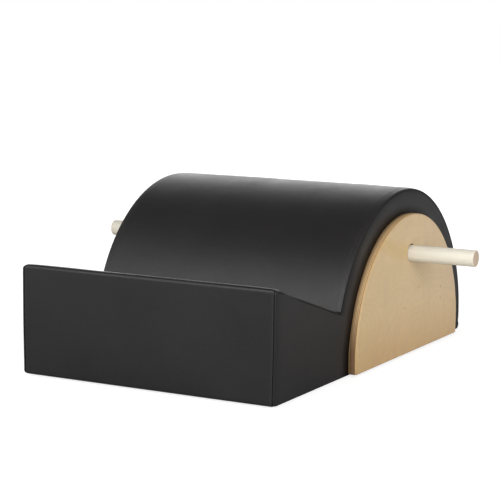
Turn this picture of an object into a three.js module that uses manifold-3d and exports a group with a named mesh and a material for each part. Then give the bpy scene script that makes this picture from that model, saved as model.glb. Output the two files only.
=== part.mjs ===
// A pilates spine corrector: an upholstered half barrel with a sloped seat and a raised front lip,
// arched plywood side panels, and a wooden pole that slides through both sides as a pair of handles.
// Millimetres. +X points to the right side panel, +Y to the back of the barrel, +Z up.

import * as THREE from 'three'
import { mergeVertices } from 'three/addons/utils/BufferGeometryUtils.js'
import Module from 'manifold-3d'

// Upholstered body, outside sizes. Heights are above the underside of the covers. The well is where
// the seat meets the barrel, at a distance behind the front face.
const bodyWidth = 480
const bodyClearance = 4.5
const barrelRadius = 281
const barrelCentreHeight = 18
const wellDistance = 234.7
const wellHeight = 113.5
const lipHeight = 188
const lipRoll = 9
const shoulderLength = 40
const seatHeight = 172
const crestPullShare = 0.3
const seatPullShare = 0.4

// Layers of the upholstery and of the carcass, from the outside in.
const vinylThickness = 1.5
const frontPadThickness = 4
const sidePadThickness = 4
const barrelFoamThickness = 20
const seatFoamThickness = 20
const barrelDeckThickness = 6
const seatDeckThickness = 9
const lipBoardThickness = 18
const ribThickness = 15
const baseBoardThickness = 9
const clothThickness = 0.8
const clothMargin = 3

// Clearance between pieces that rest on each other.
const fitGap = 0.3

// Crown of the cushions across their width, rolled rims and the stitched channel beside each rim.
const edgeDrop = 2.5
const crownPower = 12
const rimRound = 3
const rimBand = 10
const channelWidth = 2.4
const channelDepth = 0.9
const crownShares = [0.45, 0.75, 0.9]

// Front pad, and the rounded lower edges of the covers.
const frontEdgeDrop = 0.5
const frontRound = 2.5
const frontBottomRound = 5
const rearBottomRound = 9

// Arched side panels, set a little behind the middle of the barrel.
const panelThickness = 15
const panelRadius = 230
const panelCentreHeight = 23
const panelSetback = 7
const panelRoundOver = 3

// Pole, its bores and its guide tube.
const poleRadius = 15
const poleLength = 760
const poleCentreHeight = 184.5
const poleEdge = 1.2
const boreClearance = 1
const boreRelief = 1
const tubeWall = 3

// Cross rails, glue blocks, kerfs of the bent deck and lightening holes of the centre rib.
const railThickness = 18
const railHeight = 36
const railShares = { well: 0.345, middle: 0.63, rear: 0.915 }
const blockSide = 34
const blockHeight = 90
const kerfPitch = 25
const kerfWidth = 2.4
const kerfDepth = 3.6
const ribHoleRadiusShare = 0.135
const ribHoleShares = [-0.6, -0.3, 0.3, 0.6]
const ribHoleWeb = 4

// Rubber feet.
const footRadius = 19
const footTopRadius = 17
const footHeight = 5
const footInsetX = 42
const footInsetY = 55
const footBoreRadius = 6
const footWebThickness = 2

// Screws, and where they go.
const panelScrew = { headRadius: 5, headHeight: 2.6, shankRadius: 2.2, tipLength: 3 }
const panelScrewBite = 9
const panelScrewShares = [
  { along: -0.66, up: 0.22 },
  { along: -0.42, up: 0.66 },
  { along: 0.42, up: 0.66 },
  { along: 0.66, up: 0.22 },
]
const boardScrew = { headRadius: 4.2, headHeight: 2.4, shankRadius: 1.9, tipLength: 3 }
const boardScrewLength = 34
const headSink = 1
const baseScrewShares = { front: 0.16, rear: 0.82 }
const lipScrewHeights = { low: 45, high: 125 }
const footScrewLength = 9
const footScrew = { headRadius: 4, headHeight: 1.8, shankRadius: 1.7, tipLength: 2 }

// Facets.
const facetAngle = THREE.MathUtils.degToRad(4.5)
const outlineSegments = 36
const roundSides = 32
const footSides = 20
const screwSides = 8
const seatSteps = 6
const shoulderSteps = 5
const rollSteps = 3
const weldDistance = 0.0001

const wasm = await Module()
wasm.setup()

const vinyl = new THREE.MeshStandardMaterial({ color: 0x343132, roughness: 0.5, metalness: 0 })
const foam = new THREE.MeshStandardMaterial({ color: 0xd8d2bc, roughness: 1, metalness: 0 })
const cloth = new THREE.MeshStandardMaterial({ color: 0x1d1d1f, roughness: 1, metalness: 0 })
const birch = new THREE.MeshStandardMaterial({ color: 0xc6ae86, roughness: 0.45, metalness: 0 })
const plywood = new THREE.MeshStandardMaterial({ color: 0xb99a6c, roughness: 0.8, metalness: 0 })
const poleWood = new THREE.MeshStandardMaterial({ color: 0xe6dcc4, roughness: 0.5, metalness: 0 })
const plastic = new THREE.MeshStandardMaterial({ color: 0xd9dad8, roughness: 0.5, metalness: 0 })
const rubber = new THREE.MeshStandardMaterial({ color: 0x161616, roughness: 0.9, metalness: 0 })
const steel = new THREE.MeshStandardMaterial({ color: 0x9a9a98, roughness: 0.35, metalness: 1 })

// Places shared by the pieces. A side view point holds its distance behind the front face as x
// and its height above the floor as y.
const halfWidth = bodyWidth / 2
const underside = bodyClearance
const barrelRun = Math.sqrt(barrelRadius ** 2 - (wellHeight - barrelCentreHeight) ** 2)
const barrelCentre = new THREE.Vector2(wellDistance + barrelRun, underside + barrelCentreHeight)
const bodyLength = barrelCentre.x + barrelRadius
const lipCentre = new THREE.Vector2(lipRoll, underside + lipHeight - lipRoll)
const rearCentre = new THREE.Vector2(bodyLength - rearBottomRound, underside + rearBottomRound)
const padHalfWidth = halfWidth - sidePadThickness - fitGap
const ribOuterFace = padHalfWidth
const ribInnerFace = ribOuterFace - ribThickness
const coverDepth = vinylThickness + fitGap
const rimDepth = edgeDrop + rimRound
const sideDepth = rimDepth + fitGap
const boardFront = frontPadThickness + fitGap
const ribFront = boardFront + lipBoardThickness + fitGap
const seatDeckDepth = coverDepth + seatFoamThickness + fitGap
const seatRibDepth = seatDeckDepth + seatDeckThickness + fitGap
const barrelDeckDepth = coverDepth + barrelFoamThickness + fitGap
const barrelRibDepth = barrelDeckDepth + barrelDeckThickness + fitGap
const deckOuterRadius = barrelRadius - barrelDeckDepth
const deckInnerRadius = deckOuterRadius - barrelDeckThickness
const ribRadius = barrelRadius - barrelRibDepth
const clothBottom = footHeight + fitGap
const baseBottom = clothBottom + clothThickness + fitGap
const baseTop = baseBottom + baseBoardThickness
const carcassBottom = baseTop + fitGap
const poleAxisHeight = underside + poleCentreHeight
const boreRadius = poleRadius + boreClearance
const hiddenBoreRadius = boreRadius + boreRelief
const tubeRadius = hiddenBoreRadius + tubeWall
const panelCentre = new THREE.Vector2(barrelCentre.x + panelSetback, underside + panelCentreHeight)

const seatStart = new THREE.Vector2(lipRoll + shoulderLength, underside + seatHeight)
const wellCorner = new THREE.Vector2(wellDistance, underside + wellHeight)
const seatDirection = wellCorner.clone().sub(seatStart).normalize()
const seatInward = new THREE.Vector2(seatDirection.y, -seatDirection.x)

// Point on the seat's line, sunk by a depth, at a distance behind the front face.
function seatAt(along, depth) {
  const start = seatStart.clone().addScaledVector(seatInward, depth)
  return start.addScaledVector(seatDirection, (along - start.x) / seatDirection.x)
}

// Distance along the seat's line, sunk by a depth, to a circle of the barrel.
function seatReach(radius, depth) {
  const start = seatStart.clone().addScaledVector(seatInward, depth)
  const fromCentre = start.sub(barrelCentre)
  const half = fromCentre.dot(seatDirection)
  return -half - Math.sqrt(half ** 2 - fromCentre.lengthSq() + radius ** 2)
}

// Distance along the seat's line that keeps every depth of a layer outside a circle of the barrel.
function clearReach(radius, topDepth, bottomDepth) {
  const centreDepth = barrelCentre.clone().sub(seatStart).dot(seatInward)
  const nearest = THREE.MathUtils.clamp(centreDepth, topDepth, bottomDepth)
  return Math.min(...[topDepth, nearest, bottomDepth].map((depth) => seatReach(radius, depth)))
}

// Point where the seat's line, sunk by a depth, meets a circle of the barrel.
function seatMeetsBarrel(radius, depth) {
  const start = seatStart.clone().addScaledVector(seatInward, depth)
  return start.addScaledVector(seatDirection, seatReach(radius, depth))
}

// Angle of a side view point about the barrel's axis.
function barrelAngle(point) {
  return Math.atan2(point.y - barrelCentre.y, point.x - barrelCentre.x)
}

// Solid helpers: meshes become solids to be joined or cut, and come back as geometry.
function toSolid(geometry) {
  const bare = geometry.clone()
  bare.deleteAttribute('normal')
  bare.deleteAttribute('uv')
  const merged = mergeVertices(bare, weldDistance)
  const vertProperties = merged.attributes.position.array
  const triVerts = new Uint32Array(merged.index.array)
  return new wasm.Manifold(new wasm.Mesh({ numProp: 3, vertProperties, triVerts }))
}

function toGeometry(solid) {
  const mesh = solid.getMesh()
  const geometry = new THREE.BufferGeometry()
  geometry.setAttribute('position', new THREE.BufferAttribute(new Float32Array(mesh.vertProperties), 3))
  geometry.setIndex(new THREE.BufferAttribute(new Uint32Array(mesh.triVerts), 1))
  geometry.computeVertexNormals()
  return geometry
}

// A geometry with the tools' shapes cut out of it.
function drilled(geometry, tools) {
  return toGeometry(tools.reduce((solid, tool) => solid.subtract(toSolid(tool)), toSolid(geometry)))
}

// Cap triangles of a ring, wound the way the ring runs.
function capTriangles(outline) {
  const ringSense = Math.sign(THREE.ShapeUtils.area(outline))
  return THREE.ShapeUtils.triangulateShape(outline, []).map(([a, b, c]) => {
    const sense = Math.sign(THREE.ShapeUtils.area([outline[a], outline[b], outline[c]]))
    return sense === ringSense ? [a, b, c] : [c, b, a]
  })
}

// Closed skin over rings with equal numbers of points, each given as its outline in its own plane
// and its points in space. The first and last rings are closed by flat caps.
function skin(rings) {
  const count = rings[0].points.length
  const positions = rings.flatMap((ring) => ring.points.flatMap((point) => point.toArray()))
  const indices = []
  for (let i = 0; i + 1 < rings.length; i++) {
    for (let j = 0; j < count; j++) {
      const a = i * count + j
      const b = i * count + (j + 1) % count
      indices.push(a, b, b + count, a, b + count, a + count)
    }
  }
  const last = (rings.length - 1) * count
  for (const [a, b, c] of capTriangles(rings[0].outline)) indices.push(c, b, a)
  for (const [a, b, c] of capTriangles(rings.at(-1).outline)) indices.push(last + a, last + b, last + c)
  return facingOut(positions, indices)
}

// Indexed geometry turned so that its faces point outwards.
function facingOut(positions, indices) {
  const corner = (i) => new THREE.Vector3().fromArray(positions, 3 * indices[i])
  let volume = 0
  for (let i = 0; i < indices.length; i += 3) {
    volume += corner(i).dot(corner(i + 1).cross(corner(i + 2)))
  }
  const geometry = new THREE.BufferGeometry()
  geometry.setAttribute('position', new THREE.Float32BufferAttribute(positions, 3))
  geometry.setIndex(volume < 0 ? indices.toReversed() : indices)
  geometry.computeVertexNormals()
  return geometry
}

// Ring at a side view station, which has an outer point and the inward direction there. The section
// gives its points as x across the width and y as the depth below the outer surface.
function ringAt({ point, inward }, section) {
  const points = section.map(({ x, y: depth }) => {
    const spot = point.clone().addScaledVector(inward, depth)
    return new THREE.Vector3(x, spot.x, spot.y)
  })
  return { outline: section, points }
}

// Skin of one section along side view stations.
function alongStations(stations, section) {
  return skin(stations.map((station) => ringAt(station, section)))
}

// Stations moved inwards by the depth of the covers, where the foam begins.
function underCovers(stations) {
  return stations.map(({ point, inward }) => (
    { point: point.clone().addScaledVector(inward, coverDepth), inward }
  ))
}

// Stations round an arc, from one angle to another.
function arcStations(centre, radius, from, to, steps) {
  return Array.from({ length: steps + 1 }, (_, i) => {
    const angle = from + (to - from) * i / steps
    const outward = new THREE.Vector2(Math.cos(angle), Math.sin(angle))
    return { point: centre.clone().addScaledVector(outward, radius), inward: outward.negate() }
  })
}

// Stations over the barrel, from the well's corner at a start angle down to its centre height.
function barrelStations(startAngle) {
  const whole = Math.floor(startAngle / facetAngle)
  const start = arcStations(barrelCentre, barrelRadius, startAngle, startAngle, 1).slice(1)
  return [...start, ...arcStations(barrelCentre, barrelRadius, whole * facetAngle, 0, whole)]
}

// Height that the crown has lost at a place across the width.
function crownLoss(across) {
  return edgeDrop * Math.abs(across / halfWidth) ** crownPower
}

// Mirrors the right half of a line across the width, listed from the middle to the rim.
function mirrored(half) {
  const left = half.slice(1).reverse().map(({ x, y }) => new THREE.Vector2(-x, y))
  return [...left, ...half]
}

// Section of a crowned vinyl cover: stitched channels, rolled rims and a short skirt on each side.
function coverSection() {
  const channel = halfWidth - rimBand
  const sink = rimRound * (1 - Math.SQRT1_2)
  const outer = [
    new THREE.Vector2(0, 0),
    ...crownShares.map((share) => new THREE.Vector2(share * halfWidth, crownLoss(share * halfWidth))),
    new THREE.Vector2(channel - channelWidth / 2, crownLoss(channel - channelWidth / 2)),
    new THREE.Vector2(channel, crownLoss(channel) + channelDepth),
    new THREE.Vector2(channel + channelWidth / 2, crownLoss(channel + channelWidth / 2)),
    new THREE.Vector2(halfWidth - rimRound, edgeDrop),
    new THREE.Vector2(halfWidth - sink, edgeDrop + sink),
    new THREE.Vector2(halfWidth, edgeDrop + rimRound),
  ]
  const inner = [
    new THREE.Vector2(0, vinylThickness),
    new THREE.Vector2(channel, crownLoss(channel) + channelDepth + vinylThickness / 2),
    new THREE.Vector2(halfWidth - rimRound, edgeDrop + vinylThickness),
    new THREE.Vector2(halfWidth - vinylThickness, edgeDrop + rimRound),
  ]
  return [...mirrored(outer), ...mirrored(inner).reverse()]
}

// Section of the foam right under a crowned cover, down to a depth.
function foamSection(depth) {
  const channel = halfWidth - rimBand
  const top = [
    new THREE.Vector2(0, 0),
    new THREE.Vector2(channel - channelWidth, crownLoss(channel) + channelDepth),
    new THREE.Vector2(padHalfWidth, edgeDrop + channelDepth),
  ]
  return [...mirrored(top), new THREE.Vector2(padHalfWidth, depth), new THREE.Vector2(-padHalfWidth, depth)]
}

// Section of the flat front pad, with rounded side edges.
function frontSection() {
  const sink = frontRound * (1 - Math.SQRT1_2)
  const outer = [
    new THREE.Vector2(0, 0),
    new THREE.Vector2(crownShares.at(-1) * halfWidth, 0),
    new THREE.Vector2(halfWidth - frontRound, frontEdgeDrop),
    new THREE.Vector2(halfWidth - sink, frontEdgeDrop + sink),
    new THREE.Vector2(halfWidth, frontEdgeDrop + frontRound),
    new THREE.Vector2(halfWidth, frontPadThickness),
  ]
  return mirrored(outer)
}

// Stations of the seat: over the upper half of the lip's roll, down its shoulder and along the
// straight seat to its end near the barrel.
function seatStations(reach) {
  const roll = arcStations(lipCentre, lipRoll, 3 * Math.PI / 4, Math.PI / 2, rollSteps)
  const crest = roll.at(-1).point
  const shoulder = new THREE.CubicBezierCurve(
    crest,
    crest.clone().add(new THREE.Vector2(shoulderLength * crestPullShare, 0)),
    seatStart.clone().addScaledVector(seatDirection, -shoulderLength * seatPullShare),
    seatStart,
  )
  const stations = [...roll]
  for (let i = 1; i <= shoulderSteps; i++) {
    const forward = shoulder.getTangent(i / shoulderSteps)
    const inward = new THREE.Vector2(forward.y, -forward.x)
    stations.push({ point: shoulder.getPoint(i / shoulderSteps), inward })
  }
  for (let i = 1; i <= seatSteps; i++) {
    const point = seatStart.clone().addScaledVector(seatDirection, reach * i / seatSteps)
    stations.push({ point, inward: seatInward })
  }
  return stations
}

// Side view outline of a layer that lies under the whole profile: seat depth, barrel radius, front
// distance and bottom height are those of the layer.
function profileShape(front, bottom, seatDepth, radius) {
  const corner = seatMeetsBarrel(radius, seatDepth)
  const shape = new THREE.Shape()
  shape.moveTo(front, bottom)
  shape.lineTo(front, seatAt(front, seatDepth).y)
  shape.lineTo(corner.x, corner.y)
  shape.absarc(barrelCentre.x, barrelCentre.y, radius, barrelAngle(corner), 0, true)
  shape.lineTo(barrelCentre.x + radius, bottom)
  return shape
}

// Round hole in an outline.
function roundHole(along, up, radius) {
  const hole = new THREE.Path()
  hole.absarc(along, up, radius, 0, 2 * Math.PI, false)
  return hole
}

// Plate with a side view outline, from one X to another.
function sidePlate(shape, from, to, curveSegments = outlineSegments) {
  const geometry = new THREE.ExtrudeGeometry(shape, { depth: to - from, bevelEnabled: false, curveSegments })
  const across = new THREE.Vector3(1, 0, 0)
  const back = new THREE.Vector3(0, 1, 0)
  const up = new THREE.Vector3(0, 0, 1)
  geometry.applyMatrix4(new THREE.Matrix4().makeBasis(back, up, across))
  return geometry.translate(from, 0, 0)
}

// Box with its lower front left corner at one point and its opposite corner at another.
function boxBetween(low, high) {
  const size = high.clone().sub(low)
  const centre = low.clone().add(high).divideScalar(2)
  return new THREE.BoxGeometry(size.x, size.y, size.z).translate(centre.x, centre.y, centre.z)
}

// Cylinder along a unit direction, from a start point.
function rod(radius, start, direction, length, sides = screwSides) {
  const turn = new THREE.Quaternion().setFromUnitVectors(new THREE.Vector3(0, 1, 0), direction)
  const middle = start.clone().addScaledVector(direction, length / 2)
  const geometry = new THREE.CylinderGeometry(radius, radius, length, sides)
  return geometry.applyQuaternion(turn).translate(middle.x, middle.y, middle.z)
}

// Screw with a domed head at the origin, its shank along +Y.
function screwGeometry({ headRadius, headHeight, shankRadius, tipLength }, length) {
  return new THREE.LatheGeometry([
    new THREE.Vector2(0, -headHeight),
    new THREE.Vector2(headRadius / 2, -headHeight),
    new THREE.Vector2(headRadius, -headHeight / 2),
    new THREE.Vector2(headRadius, 0),
    new THREE.Vector2(shankRadius, 0),
    new THREE.Vector2(shankRadius, length - tipLength),
    new THREE.Vector2(0, length),
  ], screwSides)
}

// Named piece in a group.
function add(group, name, geometry, material) {
  const mesh = new THREE.Mesh(geometry, material)
  mesh.name = name
  group.add(mesh)
  return mesh
}

// Screws: each has the point under its head and the direction of its shank.
const inwardOf = { left: 1, right: -1 }
const panelScrews = Object.keys(inwardOf).flatMap((side) => panelScrewShares.map(({ along, up }, i) => ({
  name: `panel_screw_${side}_${i + 1}`,
  side,
  head: new THREE.Vector3(
    -inwardOf[side] * (ribInnerFace - fitGap),
    panelCentre.x + along * panelRadius,
    panelCentre.y + up * panelRadius,
  ),
  direction: new THREE.Vector3(-inwardOf[side], 0, 0),
})))
const panelScrewLength = 2 * fitGap + ribThickness + sidePadThickness + panelScrewBite

const ribCentres = { left: -(ribInnerFace + ribThickness / 2), centre: 0, right: ribInnerFace + ribThickness / 2 }
const baseScrews = Object.entries(ribCentres).flatMap(([rib, x]) => (
  Object.entries(baseScrewShares).map(([end, share]) => ({
    name: `base_screw_${rib}_${end}`,
    rib,
    head: new THREE.Vector3(x, share * bodyLength, baseBottom + headSink + boardScrew.headHeight),
    direction: new THREE.Vector3(0, 0, 1),
  }))
))
const lipScrews = Object.entries(ribCentres).flatMap(([rib, x]) => (
  Object.entries(lipScrewHeights).map(([level, height]) => ({
    name: `lip_screw_${rib}_${level}`,
    rib,
    head: new THREE.Vector3(x, boardFront + headSink + boardScrew.headHeight, underside + height),
    direction: new THREE.Vector3(0, 1, 0),
  }))
))
const footSpots = ['left', 'right'].flatMap((side) => ['front', 'rear'].map((end) => ({
  name: `${side}_${end}`,
  x: (side === 'left' ? -1 : 1) * (halfWidth - footInsetX),
  y: end === 'front' ? footInsetY : bodyLength - footInsetY,
})))

// Clearance holes for screws: one round the shank, one round the head where the head is sunk.
function shankHoles(screws, radius, length) {
  return screws.map(({ head, direction }) => rod(radius + fitGap, head, direction, length + fitGap))
}

function headHoles(screws, { headRadius, headHeight }) {
  const depth = headHeight + headSink + fitGap
  return screws.map(({ head, direction }) => (
    rod(headRadius + fitGap, head.clone().addScaledVector(direction, fitGap), direction.clone().negate(), 2 * depth)
  ))
}

function footScrewHoles(length) {
  return footSpots.map(({ x, y }) => (
    rod(footScrew.shankRadius + fitGap, new THREE.Vector3(x, y, 0), new THREE.Vector3(0, 0, 1), length)
  ))
}

// Floor of the carcass and the cloth under it.
function addBase(group) {
  const front = frontBottomRound + fitGap
  const rear = bodyLength - rearBottomRound - fitGap
  const board = boxBetween(
    new THREE.Vector3(-ribOuterFace, front, baseBottom),
    new THREE.Vector3(ribOuterFace, rear, baseTop),
  )
  const holes = [
    ...shankHoles(baseScrews, boardScrew.shankRadius, boardScrewLength),
    ...headHoles(baseScrews, boardScrew),
    ...footScrewHoles(baseTop + fitGap),
  ]
  add(group, 'base_board', drilled(board, holes), plywood)
  const sheet = boxBetween(
    new THREE.Vector3(clothMargin - ribOuterFace, front + clothMargin, clothBottom),
    new THREE.Vector3(ribOuterFace - clothMargin, rear - clothMargin, clothBottom + clothThickness),
  )
  add(group, 'dust_cover', drilled(sheet, footScrewHoles(baseTop)), cloth)
}

// Side ribs with the pole's bore, and the centre rib with lightening holes and notches for the rails.
function addRibs(group) {
  for (const side of Object.keys(inwardOf)) {
    const shape = profileShape(ribFront, carcassBottom, seatRibDepth, ribRadius)
    shape.holes.push(roundHole(barrelCentre.x, poleAxisHeight, hiddenBoreRadius))
    const inner = side === 'left' ? -ribOuterFace : ribInnerFace
    const plate = sidePlate(shape, inner, inner + ribThickness)
    add(group, `side_rib_${side}`, drilled(plate, ribTools(side)), plywood)
  }
  const shape = profileShape(ribFront, carcassBottom, seatRibDepth, ribRadius)
  for (const share of Object.values(railShares).reverse()) {
    const middle = share * bodyLength
    const reach = railThickness / 2 + fitGap
    const top = carcassBottom + railHeight + fitGap
    shape.lineTo(middle + reach, carcassBottom)
    shape.lineTo(middle + reach, top)
    shape.lineTo(middle - reach, top)
    shape.lineTo(middle - reach, carcassBottom)
  }
  shape.holes.push(roundHole(barrelCentre.x, poleAxisHeight, tubeRadius + fitGap))
  for (const share of ribHoleShares) {
    const along = barrelCentre.x + share * ribRadius
    const radius = ribHoleRadiusShare * ribRadius
    const up = carcassBottom + railHeight + fitGap + ribHoleWeb + radius
    shape.holes.push(roundHole(along, up, radius))
  }
  const plate = sidePlate(shape, -ribThickness / 2, ribThickness / 2)
  add(group, 'centre_rib', drilled(plate, ribTools('centre')), plywood)
}

function ribTools(rib) {
  const own = (screws) => screws.filter((screw) => screw.rib === rib || screw.side === rib)
  return [
    ...shankHoles(own(baseScrews), boardScrew.shankRadius, boardScrewLength),
    ...shankHoles(own(lipScrews), boardScrew.shankRadius, boardScrewLength),
    ...shankHoles(own(panelScrews), panelScrew.shankRadius, panelScrewLength),
  ]
}

// Upright board of the lip, its top bevelled to the seat, and the glue blocks behind it.
function addLip(group) {
  const shape = new THREE.Shape()
  const back = boardFront + lipBoardThickness
  shape.moveTo(boardFront, carcassBottom)
  shape.lineTo(boardFront, seatAt(boardFront, seatDeckDepth).y)
  shape.lineTo(back, seatAt(back, seatDeckDepth).y)
  shape.lineTo(back, carcassBottom)
  const board = sidePlate(shape, -ribOuterFace, ribOuterFace)
  const holes = [
    ...shankHoles(lipScrews, boardScrew.shankRadius, boardScrewLength),
    ...headHoles(lipScrews, boardScrew),
  ]
  add(group, 'lip_board', drilled(board, holes), plywood)
  for (const [side, sign] of [['left', -1], ['right', 1]]) {
    for (const [place, face, turn] of [['outer', ribInnerFace, -sign], ['inner', ribThickness / 2, sign]]) {
      add(group, `lip_block_${side}_${place}`, glueBlock(sign * face, turn), plywood)
    }
  }
}

// Upright three-cornered block between the lip board and a face of a rib.
function glueBlock(face, turn) {
  const shape = new THREE.Shape()
  const near = face + turn * fitGap
  const corners = [
    new THREE.Vector2(near, ribFront),
    new THREE.Vector2(near + turn * blockSide, ribFront),
    new THREE.Vector2(near, ribFront + blockSide),
  ]
  shape.setFromPoints(corners)
  const block = new THREE.ExtrudeGeometry(shape, { depth: blockHeight, bevelEnabled: false })
  return block.translate(0, 0, carcassBottom)
}

// Rails across the carcass, lapped through the centre rib.
function addRails(group) {
  const reach = ribInnerFace - fitGap
  for (const [place, share] of Object.entries(railShares)) {
    const middle = share * bodyLength
    add(group, `${place}_rail`, boxBetween(
      new THREE.Vector3(-reach, middle - railThickness / 2, carcassBottom),
      new THREE.Vector3(reach, middle + railThickness / 2, carcassBottom + railHeight),
    ), plywood)
  }
}

// Sloped board under the seat.
function addSeatDeck(group) {
  const bottomDepth = seatDeckDepth + seatDeckThickness
  const end = clearReach(deckOuterRadius + fitGap, seatDeckDepth, bottomDepth)
  const shape = new THREE.Shape()
  const corners = [seatAt(ribFront, bottomDepth), seatAt(ribFront, seatDeckDepth)]
  for (const depth of [seatDeckDepth, bottomDepth]) {
    const start = seatStart.clone().addScaledVector(seatInward, depth)
    corners.push(start.addScaledVector(seatDirection, end))
  }
  shape.setFromPoints(corners)
  add(group, 'seat_deck', sidePlate(shape, -ribOuterFace, ribOuterFace), plywood)
}

// Plywood skin bent over the ribs, with saw kerfs across its inner face.
function addBarrelDeck(group) {
  const outerStart = barrelAngle(seatMeetsBarrel(deckOuterRadius, seatRibDepth - fitGap))
  const innerStart = barrelAngle(seatMeetsBarrel(deckInnerRadius, seatRibDepth - fitGap))
  const at = (radius, angle) => new THREE.Vector2(
    barrelCentre.x + radius * Math.cos(angle),
    barrelCentre.y + radius * Math.sin(angle),
  )
  const points = [at(deckOuterRadius, outerStart)]
  for (let step = Math.floor(outerStart / facetAngle); step >= 0; step--) {
    points.push(at(deckOuterRadius, step * facetAngle))
  }
  points.push(new THREE.Vector2(barrelCentre.x + deckOuterRadius, carcassBottom))
  points.push(new THREE.Vector2(barrelCentre.x + deckInnerRadius, carcassBottom))
  points.push(at(deckInnerRadius, 0))
  const kerfs = Math.floor(innerStart * deckInnerRadius / kerfPitch)
  const pitch = innerStart / kerfs
  const halfKerf = kerfWidth / 2 / deckInnerRadius
  for (let i = 0; i < kerfs; i++) {
    const middle = (i + 1 / 2) * pitch
    points.push(at(deckInnerRadius, middle - halfKerf))
    points.push(at(deckInnerRadius + kerfDepth, middle - halfKerf))
    points.push(at(deckInnerRadius + kerfDepth, middle + halfKerf))
    points.push(at(deckInnerRadius, middle + halfKerf))
    points.push(at(deckInnerRadius, (i + 1) * pitch))
  }
  const shape = new THREE.Shape(points)
  add(group, 'barrel_deck', sidePlate(shape, -ribOuterFace, ribOuterFace), plywood)
}

// Foam on the barrel's deck and on the seat's deck.
function addFoam(group) {
  const stations = barrelStations(barrelStartAngle())
  stations.push({ point: new THREE.Vector2(bodyLength, carcassBottom), inward: stations.at(-1).inward })
  const section = foamSection(barrelFoamThickness)
  add(group, 'barrel_foam', alongStations(underCovers(stations), section), foam)
  const rings = seatFoamStations().map((station) => ringAt(station, foamSection(station.depth)))
  add(group, 'seat_foam', skin(rings), foam)
}

// Stations of the seat's foam, each with its depth. Their feet are spread along the seat's deck, from
// upright behind the front pad to square at the end of the seat.
function seatFoamStations() {
  const depth = seatDeckDepth - fitGap
  const reach = clearReach(deckOuterRadius + fitGap, 0, depth)
  const stations = underCovers(seatStations(reach).slice(rollSteps + 1))
  const tops = [new THREE.Vector2(boardFront, lipCentre.y), ...stations.map(({ point }) => point)]
  const first = seatAt(boardFront, depth)
  const last = tops.at(-1).clone().addScaledVector(seatInward, seatFoamThickness)
  return tops.map((point) => {
    const share = (point.x - boardFront) / (tops.at(-1).x - boardFront)
    const foot = first.clone().lerp(last, share)
    return { point, inward: foot.clone().sub(point).normalize(), depth: point.distanceTo(foot) }
  })
}

// Angle at which the barrel's upholstery starts, just above the foam of the seat.
function barrelStartAngle() {
  const radii = [barrelRadius, barrelRadius - barrelDeckDepth + fitGap]
  return Math.min(...radii.map((radius) => barrelAngle(seatMeetsBarrel(radius, vinylThickness))))
}

// Vinyl over the barrel, over the seat and its lip, and the flat pad on the front.
function addTopCovers(group) {
  const barrel = barrelStations(barrelStartAngle())
  barrel.push(...arcStations(rearCentre, rearBottomRound, 0, -Math.PI / 2, rollSteps))
  add(group, 'barrel_cover', alongStations(barrel, coverSection()), vinyl)

  const reach = clearReach(barrelRadius + fitGap, 0, rimDepth)
  add(group, 'seat_cover', alongStations(seatStations(reach), coverSection()), vinyl)

  const bottomCentre = new THREE.Vector2(frontBottomRound, underside + frontBottomRound)
  const seam = 3 * Math.PI / 4 + fitGap / lipRoll
  const front = [
    ...arcStations(bottomCentre, frontBottomRound, 3 * Math.PI / 2, Math.PI, rollSteps),
    ...arcStations(lipCentre, lipRoll, Math.PI, seam, rollSteps),
  ]
  add(group, 'front_cover', alongStations(front, frontSection()), vinyl)
}

// Padded vinyl panels on the outer faces of the side ribs.
function addSideCovers(group) {
  const radius = barrelRadius - sideDepth
  const corner = seatMeetsBarrel(radius, sideDepth)
  const shoulder = seatStations(0).slice(rollSteps, rollSteps + shoulderSteps + 1)
  const points = [
    new THREE.Vector2(frontBottomRound + fitGap, underside),
    new THREE.Vector2(frontBottomRound + fitGap, underside + frontBottomRound),
    new THREE.Vector2(boardFront, underside + frontBottomRound),
    new THREE.Vector2(boardFront, lipCentre.y),
    ...shoulder.map(({ point, inward }) => point.clone().addScaledVector(inward, sideDepth)),
    corner,
  ]
  const shape = new THREE.Shape(points)
  shape.absarc(barrelCentre.x, barrelCentre.y, radius, barrelAngle(corner), 0, true)
  shape.lineTo(barrelCentre.x + radius, rearCentre.y)
  shape.lineTo(rearCentre.x - fitGap, rearCentre.y - Math.max(rearBottomRound - sideDepth, 0))
  shape.lineTo(rearCentre.x - fitGap, underside)
  shape.holes.push(roundHole(barrelCentre.x, poleAxisHeight, hiddenBoreRadius))
  for (const side of Object.keys(inwardOf)) {
    const from = side === 'left' ? -halfWidth : halfWidth - sidePadThickness
    const plate = sidePlate(shape, from, from + sidePadThickness)
    const screws = panelScrews.filter((screw) => screw.side === side)
    const holes = shankHoles(screws, panelScrew.shankRadius, panelScrewLength)
    add(group, `side_cover_${side}`, drilled(plate, holes), vinyl)
  }
}

// Outline of a side panel, drawn in by an inset: upright sides under a half circle.
function panelOutline(inset) {
  const radius = panelRadius - inset
  const arc = Array.from({ length: outlineSegments + 1 }, (_, i) => {
    const angle = Math.PI * (1 - i / outlineSegments)
    return new THREE.Vector2(
      panelCentre.x + radius * Math.cos(angle),
      panelCentre.y + radius * Math.sin(angle),
    )
  })
  return [
    new THREE.Vector2(panelCentre.x - radius, underside + inset),
    ...arc,
    new THREE.Vector2(panelCentre.x + radius, underside + inset),
  ]
}

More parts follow.
